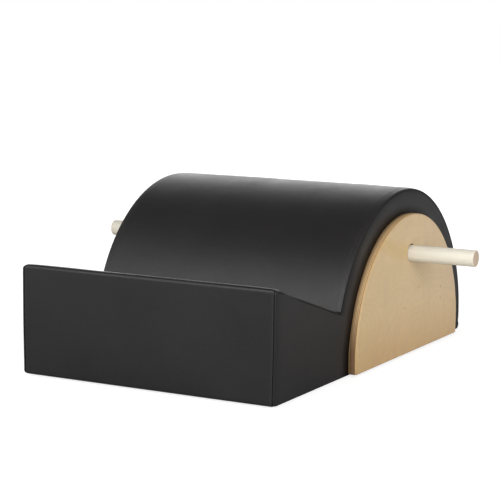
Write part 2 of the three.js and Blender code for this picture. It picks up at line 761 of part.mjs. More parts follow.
// Arched plywood panels with a rounded-over outer edge and the bore for the pole.
function addSidePanels(group) {
  for (const [side, sign] of [['left', -1], ['right', 1]]) {
    const innerFace = halfWidth + fitGap
    const ringAt = (thickness, inset) => {
      const outline = panelOutline(inset)
      const x = sign * (innerFace + thickness)
      return { outline, points: outline.map((point) => new THREE.Vector3(x, point.x, point.y)) }
    }
    const rings = [ringAt(0, 0)]
    for (let i = 0; i <= rollSteps; i++) {
      const angle = Math.PI / 2 * i / rollSteps
      const inset = panelRoundOver * (1 - Math.cos(angle))
      rings.push(ringAt(panelThickness - panelRoundOver * (1 - Math.sin(angle)), inset))
    }
    const across = new THREE.Vector3(sign, 0, 0)
    const boreStart = new THREE.Vector3(sign * halfWidth, barrelCentre.x, poleAxisHeight)
    const screws = panelScrews.filter((screw) => screw.side === side)
    const holes = [
      rod(boreRadius, boreStart, across, 2 * panelThickness, roundSides),
      ...shankHoles(screws, panelScrew.shankRadius, panelScrewLength),
    ]
    add(group, `side_panel_${side}`, drilled(skin(rings), holes), birch)
  }
}

// Guide tube between the side ribs.
function addPoleTube(group) {
  const reach = ribInnerFace - fitGap
  const wall = new THREE.LatheGeometry([
    new THREE.Vector2(hiddenBoreRadius, -reach),
    new THREE.Vector2(tubeRadius, -reach),
    new THREE.Vector2(tubeRadius, reach),
    new THREE.Vector2(hiddenBoreRadius, reach),
    new THREE.Vector2(hiddenBoreRadius, -reach),
  ], roundSides)
  const tube = add(group, 'pole_tube', wall, plastic)
  tube.rotation.z = -Math.PI / 2
  tube.position.set(0, barrelCentre.x, poleAxisHeight)
}

// Screws of the panels, the base board and the lip board.
function addScrews(group) {
  const sets = [
    { screws: panelScrews, size: panelScrew, length: panelScrewLength },
    { screws: baseScrews, size: boardScrew, length: boardScrewLength },
    { screws: lipScrews, size: boardScrew, length: boardScrewLength },
  ]
  for (const { screws, size, length } of sets) {
    for (const { name, head, direction } of screws) {
      const screw = add(group, name, screwGeometry(size, length), steel)
      screw.quaternion.setFromUnitVectors(new THREE.Vector3(0, 1, 0), direction)
      screw.position.copy(head)
    }
  }
}

// Rubber feet, each held by a screw whose head lies inside the foot.
function addFeet(group) {
  const hole = footScrew.shankRadius + fitGap
  const profile = [
    new THREE.Vector2(hole, footHeight - footWebThickness),
    new THREE.Vector2(footBoreRadius, footHeight - footWebThickness),
    new THREE.Vector2(footBoreRadius, 0),
    new THREE.Vector2(footTopRadius, 0),
    new THREE.Vector2(footRadius, footHeight / 2),
    new THREE.Vector2(footRadius, footHeight),
    new THREE.Vector2(hole, footHeight),
    new THREE.Vector2(hole, footHeight - footWebThickness),
  ]
  for (const { name, x, y } of footSpots) {
    const foot = add(group, `foot_${name}`, new THREE.LatheGeometry(profile, footSides), rubber)
    foot.rotation.x = Math.PI / 2
    foot.position.set(x, y, 0)
    const screw = add(group, `foot_screw_${name}`, screwGeometry(footScrew, footScrewLength), steel)
    screw.rotation.x = Math.PI / 2
    screw.position.set(x, y, footHeight - footWebThickness - fitGap)
  }
}

// Pole through both sides, resting on the bottom of the panels' bores.
function addPole(group) {
  const end = poleLength / 2
  const stick = new THREE.LatheGeometry([
    new THREE.Vector2(0, -end),
    new THREE.Vector2(poleRadius - poleEdge, -end),
    new THREE.Vector2(poleRadius, poleEdge - end),
    new THREE.Vector2(poleRadius, end - poleEdge),
    new THREE.Vector2(poleRadius - poleEdge, end),
    new THREE.Vector2(0, end),
  ], roundSides)
  const pole = add(group, 'handle_pole', stick, poleWood)
  pole.rotation.z = -Math.PI / 2
  pole.position.set(0, barrelCentre.x, poleAxisHeight - boreClearance + fitGap)
}

const body = new THREE.Group()
body.position.y = -bodyLength / 2
addBase(body)
addRibs(body)
addLip(body)
addRails(body)
addSeatDeck(body)
addBarrelDeck(body)
addFoam(body)
addTopCovers(body)
addSideCovers(body)
addSidePanels(body)
addPoleTube(body)
addScrews(body)
addFeet(body)
addPole(body)

const spineCorrector = new THREE.Group()
spineCorrector.add(body)

export default spineCorrector
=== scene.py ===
"""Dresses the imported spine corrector.

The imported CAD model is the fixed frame. The covers with their foam, the arched side panels, the pole,
the feet and the dust cloth are built here as finer surfaces that stand for their CAD nodes. The carcass
and its screws stay as they are and only get their materials.

Metres throughout: +X to the right side panel, +Y to the back of the barrel, +Z up.
"""

import logging
import math
from dataclasses import dataclass
from enum import Enum
from functools import cached_property
from typing import Any, Callable, Sequence

import bpy
import numpy as np
from mathutils import Matrix, Vector


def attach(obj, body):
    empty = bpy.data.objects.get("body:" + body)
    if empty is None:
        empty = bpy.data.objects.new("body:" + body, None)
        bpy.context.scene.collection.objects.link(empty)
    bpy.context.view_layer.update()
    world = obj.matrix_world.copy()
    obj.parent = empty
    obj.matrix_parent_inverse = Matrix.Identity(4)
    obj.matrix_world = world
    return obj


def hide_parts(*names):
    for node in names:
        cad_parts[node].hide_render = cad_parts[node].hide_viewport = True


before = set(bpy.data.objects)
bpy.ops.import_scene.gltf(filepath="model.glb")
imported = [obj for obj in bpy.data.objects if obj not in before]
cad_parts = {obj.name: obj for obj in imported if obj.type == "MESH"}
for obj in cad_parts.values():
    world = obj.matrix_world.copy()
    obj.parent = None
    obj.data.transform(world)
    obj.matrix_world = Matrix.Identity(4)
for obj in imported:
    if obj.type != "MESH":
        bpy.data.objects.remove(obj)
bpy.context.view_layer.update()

log = logging.getLogger("spine_corrector")

Colour = tuple[float, float, float]
WHITE: Colour = (1.0, 1.0, 1.0)

STEP = 0.0004
"""Spacing of the raw points of a side-view line, and the gap left where two of its parts meet."""


class Side(Enum):
    """The two sides of the body."""

    LEFT = -1
    RIGHT = 1

    @property
    def word(self) -> str:
        """The side's name as CAD nodes spell it."""
        return self.name.lower()


class Slot(Enum):
    """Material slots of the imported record."""

    VINYL = "black_vinyl"
    CLOTH = "black_cloth"
    PANEL = "birch_panel"
    PLYWOOD = "plywood"
    POLE = "pole_wood"
    TUBE = "tube_plastic"
    FOOT = "foot_rubber"
    STEEL = "steel"


class Axis(Enum):
    """Axes of the part's frame, by index."""

    X = 0
    Y = 1
    Z = 2


# ---- Shapes ----


def unit(vectors: np.ndarray) -> np.ndarray:
    """Vectors brought to a length of 1."""
    return vectors / np.linalg.norm(vectors, axis=-1, keepdims=True)


def polar(angle: np.ndarray) -> np.ndarray:
    """Unit vectors at angles in radians: their cosine and sine."""
    return np.stack([np.cos(angle), np.sin(angle)], -1)


def bearing(points: np.ndarray, centre: Sequence[float]) -> np.ndarray:
    """Angle of each point about a centre, in radians."""
    return np.arctan2(*(points - centre).T[::-1])


def quarter_round(radius: float, steps: int) -> np.ndarray:
    """Quarter circle inside a square corner: depth below each of its sides, from (0, r) to (r, 0)."""
    return radius * (1 - polar(np.linspace(0.0, np.pi / 2, steps)))


def smooth(share: np.ndarray) -> np.ndarray:
    """Ease from 0 to 1: the cubic 3t^2 - 2t^3 with t held between 0 and 1."""
    held = np.clip(share, 0.0, 1.0)
    return held * held * (3.0 - 2.0 * held)


def waves(first: np.ndarray, second: np.ndarray, shortest: float, longest: float, seed: int) -> np.ndarray:
    """Slow random swell: a mean of 24 plane cosine waves with random directions and phases.

    Args:
        first: First coordinate of each point.
        second: Second coordinate of each point.
        shortest: Shortest wavelength.
        longest: Longest wavelength.
        seed: Seed of the random draw.

    Returns:
        Values of about -1 to 1 in the shape of the coordinates.
    """
    draw = np.random.default_rng(seed)
    count = 24
    heading = draw.uniform(0.0, 2 * np.pi, count)
    number = 2 * np.pi / draw.uniform(shortest, longest, count)
    phase = draw.uniform(0.0, 2 * np.pi, count)
    along = first[..., None] * np.cos(heading) + second[..., None] * np.sin(heading)
    return np.cos(along * number + phase).sum(-1) / math.sqrt(count)


@dataclass
class Trace:
    """A line in side view with the outward direction at each point.

    Attributes:
        points: Y and Z of each point.
        outward: Unit Y and Z of the outward direction there.
    """

    points: np.ndarray
    outward: np.ndarray

    @staticmethod
    def arc(centre: Sequence[float], radius: float, start: float, end: float) -> "Trace":
        """Arc about a centre; its outward side is away from the centre.

        Args:
            centre: Y and Z of the centre.
            radius: Radius.
            start: Angle of its start in degrees.
            end: Angle of its end in degrees.

        Returns:
            The arc.
        """
        count = max(8, int(abs(math.radians(end - start)) * radius / STEP))
        outward = polar(np.radians(np.linspace(start, end, count)))
        return Trace(np.asarray(centre) + radius * outward, outward)

    @staticmethod
    def curve(points: np.ndarray) -> "Trace":
        """Line through close points; outward is its forward direction turned a quarter left."""
        forward = unit(np.gradient(points, axis=0))
        return Trace(points, np.stack([-forward[:, 1], forward[:, 0]], -1))

    @staticmethod
    def line(start: Sequence[float], end: Sequence[float]) -> "Trace":
        """Straight line from start to end."""
        share = np.linspace(0.0, 1.0, max(2, int(math.dist(start, end) / STEP)))[:, None]
        return Trace.curve(np.asarray(start) * (1 - share) + np.asarray(end) * share)

    @staticmethod
    def joined(*parts: "Trace") -> "Trace":
        """Several lines one after the other."""
        return Trace(np.concatenate([p.points for p in parts]), np.concatenate([p.outward for p in parts]))

    @property
    def length(self) -> np.ndarray:
        """Distance along the line at each point."""
        step = np.linalg.norm(np.diff(self.points, axis=0), axis=1)
        return np.concatenate([[0.0], np.cumsum(step)])

    def resampled(self, finest: float, coarsest: float, closed: bool = False) -> "Trace":
        """The line with its points spread by how much it turns, and close together at its ends.

        The wanted spacing is a seventh of the local radius, held between the two limits, and grows by a
        quarter of the distance from an open end. Points fall where the integral of one over the
        spacing reaches whole numbers.

        Args:
            finest: Closest spacing.
            coarsest: Widest spacing.
            closed: Whether the line ends where it starts, so that its last point is left out.

        Returns:
            The line with its new points.
        """
        length = self.length
        turn = np.linalg.norm(np.diff(self.outward, axis=0), axis=1) / np.maximum(np.diff(length), 1e-9)
        turn = np.concatenate([turn, turn[-1:]])
        spread = np.convolve(np.pad(turn, 8, mode="edge"), np.ones(17) / 17, mode="valid")
        spacing = np.clip(1.0 / (7.0 * np.maximum(spread, 1e-6)), finest, coarsest)
        if not closed:
            spacing = np.minimum(spacing, finest + 0.25 * np.minimum(length, length[-1] - length))
        density = np.concatenate([[0.0], np.cumsum(np.diff(length) * 2 / (spacing[1:] + spacing[:-1]))])
        count = max(8, int(round(density[-1])))
        wanted = np.linspace(0.0, density[-1], count + 1)[: count if closed else count + 1]
        return self.at(np.interp(wanted, density, length))

    def at(self, places: np.ndarray) -> "Trace":
        """The line's points and directions at given distances along it.

        Args:
            places: Distances from the line's start.

        Returns:
            A line whose arrays have the shape of the distances.
        """
        keep = np.concatenate([[True], np.diff(self.length) > 0])
        known = self.length[keep]
        points, outward = (
            np.stack([np.interp(places, known, column[keep]) for column in half.T], -1)
            for half in (self.points, self.outward)
        )
        return Trace(points, unit(outward))

    def lift(self, across: np.ndarray, depth: np.ndarray) -> np.ndarray:
        """Grid over the line: each row's point, sunk by the depth of each column.

        Args:
            across: X of each column, or of each grid point.
            depth: Depth below the line for each row and column.

        Returns:
            Points in an array of rows, columns and 3.
        """
        spots = self.points[:, None, :] - self.outward[:, None, :] * depth[..., None]
        return np.concatenate([np.broadcast_to(across, depth.shape)[..., None], spots], axis=-1)


# ---- Meshes ----


def grid_quads(rows: int, columns: int, wrap_rows: bool, wrap_columns: bool, offset: int = 0) -> np.ndarray:
    """Corner indices of the quads of a grid whose points are numbered row by row.

    Args:
        rows: Number of rows.
        columns: Number of columns.
        wrap_rows: Whether the last row joins the first.
        wrap_columns: Whether the last column joins the first.
        offset: Number of the first point.

    Returns:
        An array of quads by 4.
    """
    row = np.arange(rows if wrap_rows else rows - 1)[:, None]
    column = np.arange(columns if wrap_columns else columns - 1)[None, :]
    after_row, after_column = (row + 1) % rows, (column + 1) % columns
    corners = [
        row * columns + column,
        row * columns + after_column,
        after_row * columns + after_column,
        after_row * columns + column,
    ]
    return np.stack([np.broadcast_to(c, (row.size, column.size)).ravel() for c in corners], -1) + offset


def link(name: str, data: bpy.types.ID) -> bpy.types.Object:
    """New object at the origin of the scene, around its mesh, lamp or camera.

    Args:
        name: Name of the object.
        data: What it holds.

    Returns:
        The new object.
    """
    made = bpy.data.objects.new(name, data)
    bpy.context.scene.collection.objects.link(made)
    return made


def make_piece(
    name: str, points: np.ndarray, faces: list, crease: float = 42.0, **values: np.ndarray
) -> bpy.types.Object:
    """Object at the origin whose mesh holds the points in the part's frame, facing out and smooth.

    The enclosed volume, a sum of the corner triple products, tells whether the faces have to be
    turned round.

    Args:
        name: Name of the piece.
        points: Its points, in an array that ends in 3.
        faces: Corner indices of each face.
        crease: Edge angle in degrees from which an edge stays sharp.
        values: Numbers for each point, stored as attributes for the materials.

    Returns:
        The new object.
    """
    flat = points.reshape(-1, 3)
    anchors = [(f[0], f[i], f[i + 1]) for f in faces if len(f) != 4 for i in range(1, len(f) - 1)]
    quads = np.array([f for f in faces if len(f) == 4], int).reshape(-1, 4)
    corners = np.concatenate([quads[:, [0, 1, 2]], quads[:, [0, 2, 3]], np.array(anchors, int).reshape(-1, 3)])
    a, b, c = (flat[corners[:, i]] for i in range(3))
    if np.einsum("ij,ij->", a, np.cross(b, c)) < 0:
        faces = [tuple(f[::-1]) for f in faces]
    mesh = bpy.data.meshes.new(name)
    mesh.from_pydata(flat.tolist(), [], faces)
    for key, numbers in values.items():
        mesh.attributes.new(key, "FLOAT", "POINT").data.foreach_set("value", numbers.astype(np.float32).ravel())
    mesh.shade_smooth()
    mesh.set_sharp_from_angle(angle=math.radians(crease))
    mesh.update()
    return link(name, mesh)


def shell(name: str, outer: np.ndarray, inner: np.ndarray, **values: np.ndarray) -> bpy.types.Object:
    """Closed body between two grids of the same size: both grids and the four strips between their rims.

    Args:
        name: Name of the piece.
        outer: Points of the outer grid, rows by columns by 3.
        inner: Points of the inner grid.
        values: Numbers for each point of the outer grid; the inner grid gets 0.

    Returns:
        The new object.
    """
    rows, columns = outer.shape[:2]
    count = rows * columns
    number = np.arange(count).reshape(rows, columns)
    rim = np.concatenate([number[0, :], number[1:, -1], number[-1, -2::-1], number[-2:0:-1, 0]])
    after = np.roll(rim, -1)
    walls = np.stack([after, rim, rim + count, after + count], -1)
    faces = np.concatenate([
        grid_quads(rows, columns, False, False),
        grid_quads(rows, columns, False, False, count)[:, ::-1],
        walls,
    ])
    both = {key: np.concatenate([v.ravel(), np.zeros(count)]) for key, v in values.items()}
    return make_piece(name, np.stack([outer, inner]), faces.tolist(), **both)


def ring_body(name: str, rings: np.ndarray, **values: np.ndarray) -> bpy.types.Object:
    """Closed body without ends, such as a plate with one hole: rings joined in turn, the last to the first."""
    rows, columns = rings.shape[:2]
    return make_piece(name, rings, grid_quads(rows, columns, True, True).tolist(), **values)


def revolved(
    name: str, profile: np.ndarray, axis: Axis, centre: Sequence[float], count: int, **values: np.ndarray
) -> bpy.types.Object:
    """Body turned about a line: each profile point makes a ring, at radius times cosine and sine.

    A profile that starts and ends on the line is closed there by a fan from one point at each end. Any
    other profile is taken as a loop.

    Args:
        name: Name of the piece.
        profile: Place along the line and radius of each profile point.
        axis: Direction of the line.
        centre: Point on the line from which places are counted.
        count: Points round each ring.
        values: Numbers for each profile point.

    Returns:
        The new object.
    """
    angle = np.linspace(0.0, 2 * np.pi, count, endpoint=False)
    solid = bool(profile[0, 1] == 0.0)
    body = profile[1:-1] if solid else profile
    rings = np.zeros((len(body), count, 3))
    across, up = [i for i in range(3) if i != axis.value]
    rings[..., axis.value] = body[:, :1]
    rings[..., across] = body[:, 1:] * np.cos(angle)
    rings[..., up] = body[:, 1:] * np.sin(angle)
    faces = grid_quads(len(body), count, not solid, True).tolist()
    points = rings.reshape(-1, 3)
    numbers = {key: np.repeat(v[1:-1] if solid else v, count) for key, v in values.items()}
    if solid:
        tips = np.zeros((2, 3))
        tips[:, axis.value] = profile[[0, -1], 0]
        last = (len(body) - 1) * count
        turn = np.arange(count)
        after = (turn + 1) % count
        first_fan = np.stack([after, turn, np.full(count, len(points))], -1)
        last_fan = np.stack([last + turn, last + after, np.full(count, len(points) + 1)], -1)
        faces += first_fan.tolist() + last_fan.tolist()
        points = np.concatenate([points, tips])
        numbers = {key: np.concatenate([n, values[key][[0, -1]]]) for key, n in numbers.items()}
    return make_piece(name, points + np.asarray(centre), faces, **numbers)


def tubes(name: str, grid: np.ndarray, crease: float) -> bpy.types.Object:
    """Many small closed tubes as one piece, each a row of rings with a flat cap at both ends.

    Args:
        name: Name of the piece.
        grid: Points by tube, ring, corner and axis.
        crease: Edge angle in degrees from which an edge stays sharp.

    Returns:
        The new object.
    """
    count, rings, corners = grid.shape[:3]
    first = np.arange(count)[:, None, None] * rings * corners
    turn = np.arange(corners)
    caps = np.stack([turn[::-1], turn + (rings - 1) * corners])
    walls = (grid_quads(rings, corners, False, True) + first).reshape(-1, 4)
    return make_piece(name, grid, walls.tolist() + (caps + first).reshape(-1, corners).tolist(), crease)


def settle(
    piece: bpy.types.Object, slot: Slot, material: bpy.types.Material, *nodes: str, body: str = "body"
) -> bpy.types.Object:
    """Gives a piece its body and material, and hides the CAD nodes it stands for.

    Args:
        piece: The piece.
        slot: Not used.
        material: Its material.
        nodes: CAD nodes that it stands for.
        body: Body that it moves with.

    Returns:
        The same piece.
    """
    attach(piece, body)
    if nodes:
        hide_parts(*nodes)
    piece.data.materials.clear()
    piece.data.materials.append(material)
    log.info("%s: %d faces on %s", piece.name, len(piece.data.polygons), body)
    return piece


# ---- Shader building ----

Inputs = dict[int | str, Any]


def tint(colour: Colour, *shares: float) -> Colour:
    """A colour times one share, or times one for each channel."""
    return tuple(channel * share for channel, share in zip(colour, shares if len(shares) > 1 else shares * 3))


class Wire:
    """Output socket ready to be joined to other nodes; a sign of arithmetic adds a Math node behind it."""

    def __init__(self, maker: "NodeMaker", socket: bpy.types.NodeSocket) -> None:
        """Keeps the socket and the maker that adds its nodes."""
        self.maker, self.socket = maker, socket

    def __add__(self, other: "Wire | float") -> "Wire":
        """Sum."""
        return self.maker.math("ADD", self, other)

    def __sub__(self, other: "Wire | float") -> "Wire":
        """Difference."""
        return self.maker.math("SUBTRACT", self, other)

    def __rsub__(self, other: float) -> "Wire":
        """Difference from a plain number."""
        return self.maker.math("SUBTRACT", other, self)

    def __mul__(self, other: "Wire | float") -> "Wire":
        """Product."""
        return self.maker.math("MULTIPLY", self, other)

    def __truediv__(self, other: "Wire | float") -> "Wire":
        """Quotient."""
        return self.maker.math("DIVIDE", self, other)

    def __lt__(self, other: "Wire | float") -> "Wire":
        """1 where it is less than the other, otherwise 0."""
        return self.maker.math("LESS_THAN", self, other)

    def __abs__(self) -> "Wire":
        """Value without its sign."""
        return self.maker.math("ABSOLUTE", self)


class NodeMaker:
    """Adds nodes to a node tree and links them."""

    def __init__(self, tree: bpy.types.NodeTree, effects: "SharedEffects | None" = None) -> None:
        """Keeps the tree and the shared groups."""
        self.tree, self.effects = tree, effects

    def feed(self, node: bpy.types.Node, inputs: Inputs) -> bpy.types.Node:
        """Fills inputs of a node.

        Args:
            node: The node.
            inputs: Plain value or Wire for each input, by its name or number; colours have 3 channels.

        Returns:
            The same node.
        """
        for key, value in inputs.items():
            socket = node.inputs[key]
            if isinstance(value, Wire):
                self.tree.links.new(value.socket, socket)
            else:
                socket.default_value = (*value, 1.0) if socket.type == "RGBA" else value
        return node

    def add(self, kind: str, inputs: Inputs, **settings: Any) -> bpy.types.Node:
        """Adds a node.

        Args:
            kind: Node type without its ShaderNode prefix.
            inputs: What its inputs are filled with, as feed takes it.
            settings: Properties of the node.

        Returns:
            The new node.
        """
        node = self.tree.nodes.new("ShaderNode" + kind)
        for key, value in settings.items():
            setattr(node, key, value)
        return self.feed(node, inputs)

    def get(self, kind: str, inputs: Inputs | None = None, output: int | str = 0, **settings: Any) -> Wire:
        """One output of a new node."""
        return Wire(self, self.add(kind, inputs or {}, **settings).outputs[output])

    def math(self, operation: str, first: Wire | float, second: Wire | float = 0.0) -> Wire:
        """Result of a Math node on two values."""
        return self.get("Math", {0: first, 1: second}, operation=operation)

    def band(self, value: Wire, low: float, high: float) -> Wire:
        """A value spread from low..high to 0..1 and held there."""
        return self.get("MapRange", {"Value": value, "From Min": low, "From Max": high})

    def mix(self, share: Wire | float, first: Any, second: Any, blend: str = "MIX") -> Wire:
        """Colour between two colours by a share."""
        return self.get("Mix", {0: share, 6: first, 7: second}, 2, data_type="RGBA", blend_type=blend)

    def shades(self, share: Wire, colour: Colour, low: float, high: float) -> Wire:
        """Colour that runs between two shares of a colour."""
        return self.mix(share, tint(colour, low), tint(colour, high))

    def layered(self, base: Wire, *layers: tuple) -> Wire:
        """Lays colours over a base.

        Args:
            base: Colour beneath them.
            layers: Share, colour and, where it isn't MIX, blend type of each, from the lowest up.

        Returns:
            The colour on top.
        """
        for share, colour, *blend in layers:
            base = self.mix(share, base, colour, *blend)
        return base

    @cached_property
    def where(self) -> Wire:
        """Object coordinates."""
        return self.get("TexCoord", output="Object")

    def stretched(self, scale: Sequence[float], source: Wire | None = None) -> Wire:
        """Object coordinates, or another vector, times a factor on each axis."""
        return self.get("Mapping", {"Vector": source or self.where, "Scale": scale})

    def noise(
        self, vector: Wire, scale: Wire | float, detail: float = 2.0, rough: float = 0.5, warp: float = 0.0
    ) -> Wire:
        """Noise value of a vector."""
        inputs = {"Vector": vector, "Scale": scale, "Detail": detail, "Roughness": rough, "Distortion": warp}
        return self.get("TexNoise", inputs)

    @cached_property
    def xyz(self) -> list[Wire]:
        """X, Y and Z of the object coordinates."""
        return self.axes(self.where)

    def axes(self, vector: Wire) -> list[Wire]:
        """X, Y and Z of a vector."""
        return [Wire(self, socket) for socket in self.add("SeparateXYZ", {0: vector}).outputs]

    def reach(self, along: Wire, up: Wire) -> Wire:
        """Root of the sum of two squares."""
        return self.get("VectorMath", {0: self.get("CombineXYZ", {0: along, 1: up})}, "Value", operation="LENGTH")

    def attribute(self, name: str) -> Wire:
        """Number that a piece stores for each of its points."""
        return self.get("Attribute", output="Fac", attribute_name=name)

    def group(self, tree: bpy.types.NodeTree, **inputs: Any) -> dict[str, Wire]:
        """Outputs of a shared group, by name."""
        return {socket.name: Wire(self, socket) for socket in self.add("Group", inputs, node_tree=tree).outputs}


def shared_group(title: str, recipe: Callable, **defaults: float | None) -> bpy.types.NodeTree:
    """Shader node group whose outputs are what a recipe makes of its inputs.

    Args:
        title: Name of the group.
        recipe: Takes a node maker and the inputs by name, and gives the outputs by name.
        defaults: Default value of each input, where None stands for a vector.

    Returns:
        The new group.
    """
    tree = bpy.data.node_groups.new(title, "ShaderNodeTree")
    for key, value in defaults.items():
        kind = "NodeSocketVector" if value is None else "NodeSocketFloat"
        socket = tree.interface.new_socket(key, in_out="INPUT", socket_type=kind)
        if value is not None:
            socket.default_value = value
    make = NodeMaker(tree)
    results = recipe(make, {socket.name: Wire(make, socket) for socket in tree.nodes.new("NodeGroupInput").outputs})
    for key in results:
        tree.interface.new_socket(key, in_out="OUTPUT", socket_type="NodeSocketFloat")
    make.feed(tree.nodes.new("NodeGroupOutput"), results)
    return tree


class SharedEffects:
    """Node groups that several finishes use, each built once."""

    def __init__(self) -> None:
        """Builds the groups."""
        self.pebble = shared_group("Pebbled skin", self._pebble, Cells=900.0, Creases=0.5, Broad=2.0)
        self.grain = shared_group("Wood grain", self._grain, Vector=None, Fibres=420.0, Figure=26.0)
        self.plies = shared_group("Ply layers", self._plies, Depth=0.0, Ply=0.0014, Thickness=0.015)
        self.marks = shared_group("Handling marks", self._marks, Clouds=7.0)

    @staticmethod
    def _pebble(make: NodeMaker, given: dict[str, Wire]) -> dict[str, Wire]:
        """Pebbled skin: rounded cells with creases between them, over finer noise and a broad unevenness.

        Args:
            make: Maker of the group's nodes.
            given: Cells per metre, and strength of the creases and of the broad unevenness.

        Returns:
            Height of the skin and mask of its creases.
        """
        inputs = {"Vector": make.where, "Scale": given["Cells"], "Randomness": 0.9}
        cell = make.band(make.get("TexVoronoi", inputs, "Distance", feature="DISTANCE_TO_EDGE"), 0.0, 0.22)
        broad = cell * given["Creases"] + make.noise(make.where, 210.0) * given["Broad"]
        return {"Height": broad + make.noise(make.where, 2600.0, 3.0, 0.6) * 0.35, "Crease": 1.0 - cell}

    @staticmethod
    def _grain(make: NodeMaker, given: dict[str, Wire]) -> dict[str, Wire]:
        """Wood grain on stretched coordinates: long fibres, a slow figure and short dark pores.

        Args:
            make: Maker of the group's nodes.
            given: Stretched coordinates, and scales of the fibres and of the figure.

        Returns:
            Fibre and figure as noise, and mask of the pores.
        """
        vector, fibres = given["Vector"], given["Fibres"]
        bend = make.get("CombineXYZ", {"X": make.noise(vector, 9.0, 3.0) * 0.05})
        bent = make.get("VectorMath", {0: vector, 1: bend}, operation="ADD")
        return {
            "Fibre": make.noise(bent, fibres, 4.0, 0.62),
            "Figure": make.noise(bent, given["Figure"], 3.0, 0.5, 0.6),
            "Pore": make.band(make.noise(vector, fibres * 2.3, 1.0, 0.4), 0.66, 0.76),
        }

    @staticmethod
    def _plies(make: NodeMaker, given: dict[str, Wire]) -> dict[str, Wire]:
        """Layers of plywood by depth below a face.

        Args:
            make: Maker of the group's nodes.
            given: Depth, and thickness of a ply and of the board.

        Returns:
            Masks of the inner plies, of every second ply, whose fibres run along the edge, and of the glue lines.
        """
        depth, ply = given["Depth"], given["Ply"]
        count = depth / ply
        inner = ply < make.math("MINIMUM", depth, given["Thickness"] - depth)
        share = make.math("FRACT", count)
        glue = make.math("MINIMUM", share, 1.0 - share) < 0.08
        return {"Inner": inner, "Along": make.math("MODULO", make.math("FLOOR", count), 2.0), "Glue": glue * inner}

    @staticmethod
    def _marks(make: NodeMaker, given: dict[str, Wire]) -> dict[str, Wire]:
        """Handling marks, for gloss and slight colour changes.

        Args:
            make: Maker of the group's nodes.
            given: Clouds per metre.

        Returns:
            Broad soft clouds and small streaks.
        """
        cloud = make.noise(make.where, given["Clouds"], 3.0, 0.55)
        streak = make.noise(make.stretched((1.0, 0.35, 1.0)), 60.0)
        return {"Cloud": make.band(cloud, 0.3, 0.7), "Streak": make.band(streak, 0.5, 0.75)}


@dataclass(frozen=True)
class Finish:
    """A surface finish. Each kind fills the inputs of one Principled shader.

    Attributes:
        title: Name of the material.
        colour: Main colour, linear.
        roughness: Mean roughness.
        relief: Height of the surface relief.
    """

    title: str
    colour: Colour
    roughness: float
    relief: float

    def material(self, effects: SharedEffects) -> bpy.types.Material:
        """Makes the material.

        Args:
            effects: The shared node groups.

        Returns:
            The new material.
        """
        made = bpy.data.materials.new(self.title)
        made.use_nodes = True
        made.diffuse_color = (*self.colour, 1.0)
        make = NodeMaker(made.node_tree, effects)
        look = self.paint(make)
        bump = {"Strength": 1.0, "Distance": self.relief, "Height": look.pop("Height")}
        make.feed(made.node_tree.nodes["Principled BSDF"], {**look, "Normal": make.get("Bump", bump)})
        return made

    def paint(self, make: NodeMaker) -> dict[str, Any]:
        """What fills the shader's inputs, by name, and the Height of the relief.

        Every kind of finish has its own.

        Args:
            make: Maker of the material's nodes.

        Returns:
            Plain value or Wire for each name.
        """
        raise NotImplementedError


@dataclass(frozen=True)
class VinylFinish(Finish):
    """Matt upholstery vinyl: pebbled, slightly polished at the rims, with faint handling marks.

    Attributes:
        cells: Pebbles per metre.
        worn: Colour of the rubbed rims.
        dusty: Share of each channel that is left beside the wooden panel, as painted shade.
        panel: Y, Z and radius of an arch that touches the wooden panel's front; beside it the vinyl gets painted
            shade.
        dull: Width of the painted shade beside the panel, where the vinyl is darker and reflects less.
    """

    cells: float = 850.0
    worn: Colour = (0.034, 0.032, 0.031)
    dusty: Colour = (0.3, 0.2, 0.12)
    panel: tuple[float, float, float] = (0.0977, 0.0312, 0.2143)
    dull: float = 0.030

    def paint(self, make: NodeMaker) -> dict[str, Any]:
        """Mottled black, lighter where rims are rubbed; creases of the pebble stay darker, and painted shade darkens
        the seams and the vinyl beside the wooden panel.

        Args:
            make: Maker of the material's nodes.

        Returns:
            What fills the shader's inputs, and the Height.
        """
        skin, marks = make.group(make.effects.pebble, Cells=self.cells), make.group(make.effects.marks)
        cloud, fold, clear_of_shade = marks["Cloud"], make.attribute("fold"), self._open_skin(make)
        mottle = make.band(make.noise(make.where, 230.0), 0.3, 0.7)
        mottled = make.shades(cloud * 0.5 + mottle * 0.5, self.colour, 0.78, 1.22)
        rubbed = make.attribute("rim") * make.band(cloud, -0.6, 1.0)
        # Painted shade: the vinyl is darker and browner beside the wooden panel, and darker along the seams.
        colour = make.layered(
            make.mix(clear_of_shade, tint(self.colour, *self.dusty), mottled),
            (fold * 0.6, tint(self.colour, 0.4)),
            (rubbed * 0.6, self.worn),
            (skin["Crease"] * 0.5, tint(self.colour, 0.55)),
        )
        return {
            "Base Color": colour,
            "Roughness": cloud * 0.07 - marks["Streak"] * 0.03 - rubbed * 0.06 + (self.roughness - 0.035),
            # Painted shade: less reflection beside the wooden panel and along the seams.
            "Specular IOR Level": clear_of_shade * (1.0 - fold * 0.75) * 0.38 + 0.02,
            "Height": skin["Height"],
        }

    def _open_skin(self, make: NodeMaker) -> Wire:
        """Mask of the vinyl that is clear of the painted shade beside the wooden panel.

        It grows with a power of the distance from the panel's arch, below whose centre the distance is
        taken level.

        Args:
            make: Maker of the material's nodes.

        Returns:
            0 at the wooden panel's edge, 1 from the width of the painted shade on.
        """
        along, up, radius = self.panel
        _, y, z = make.xyz
        reach = make.reach(y - along, make.math("MAXIMUM", z - up, 0.0))
        return make.math("POWER", make.band(reach, radius - 0.001, radius + self.dull), 2.2)


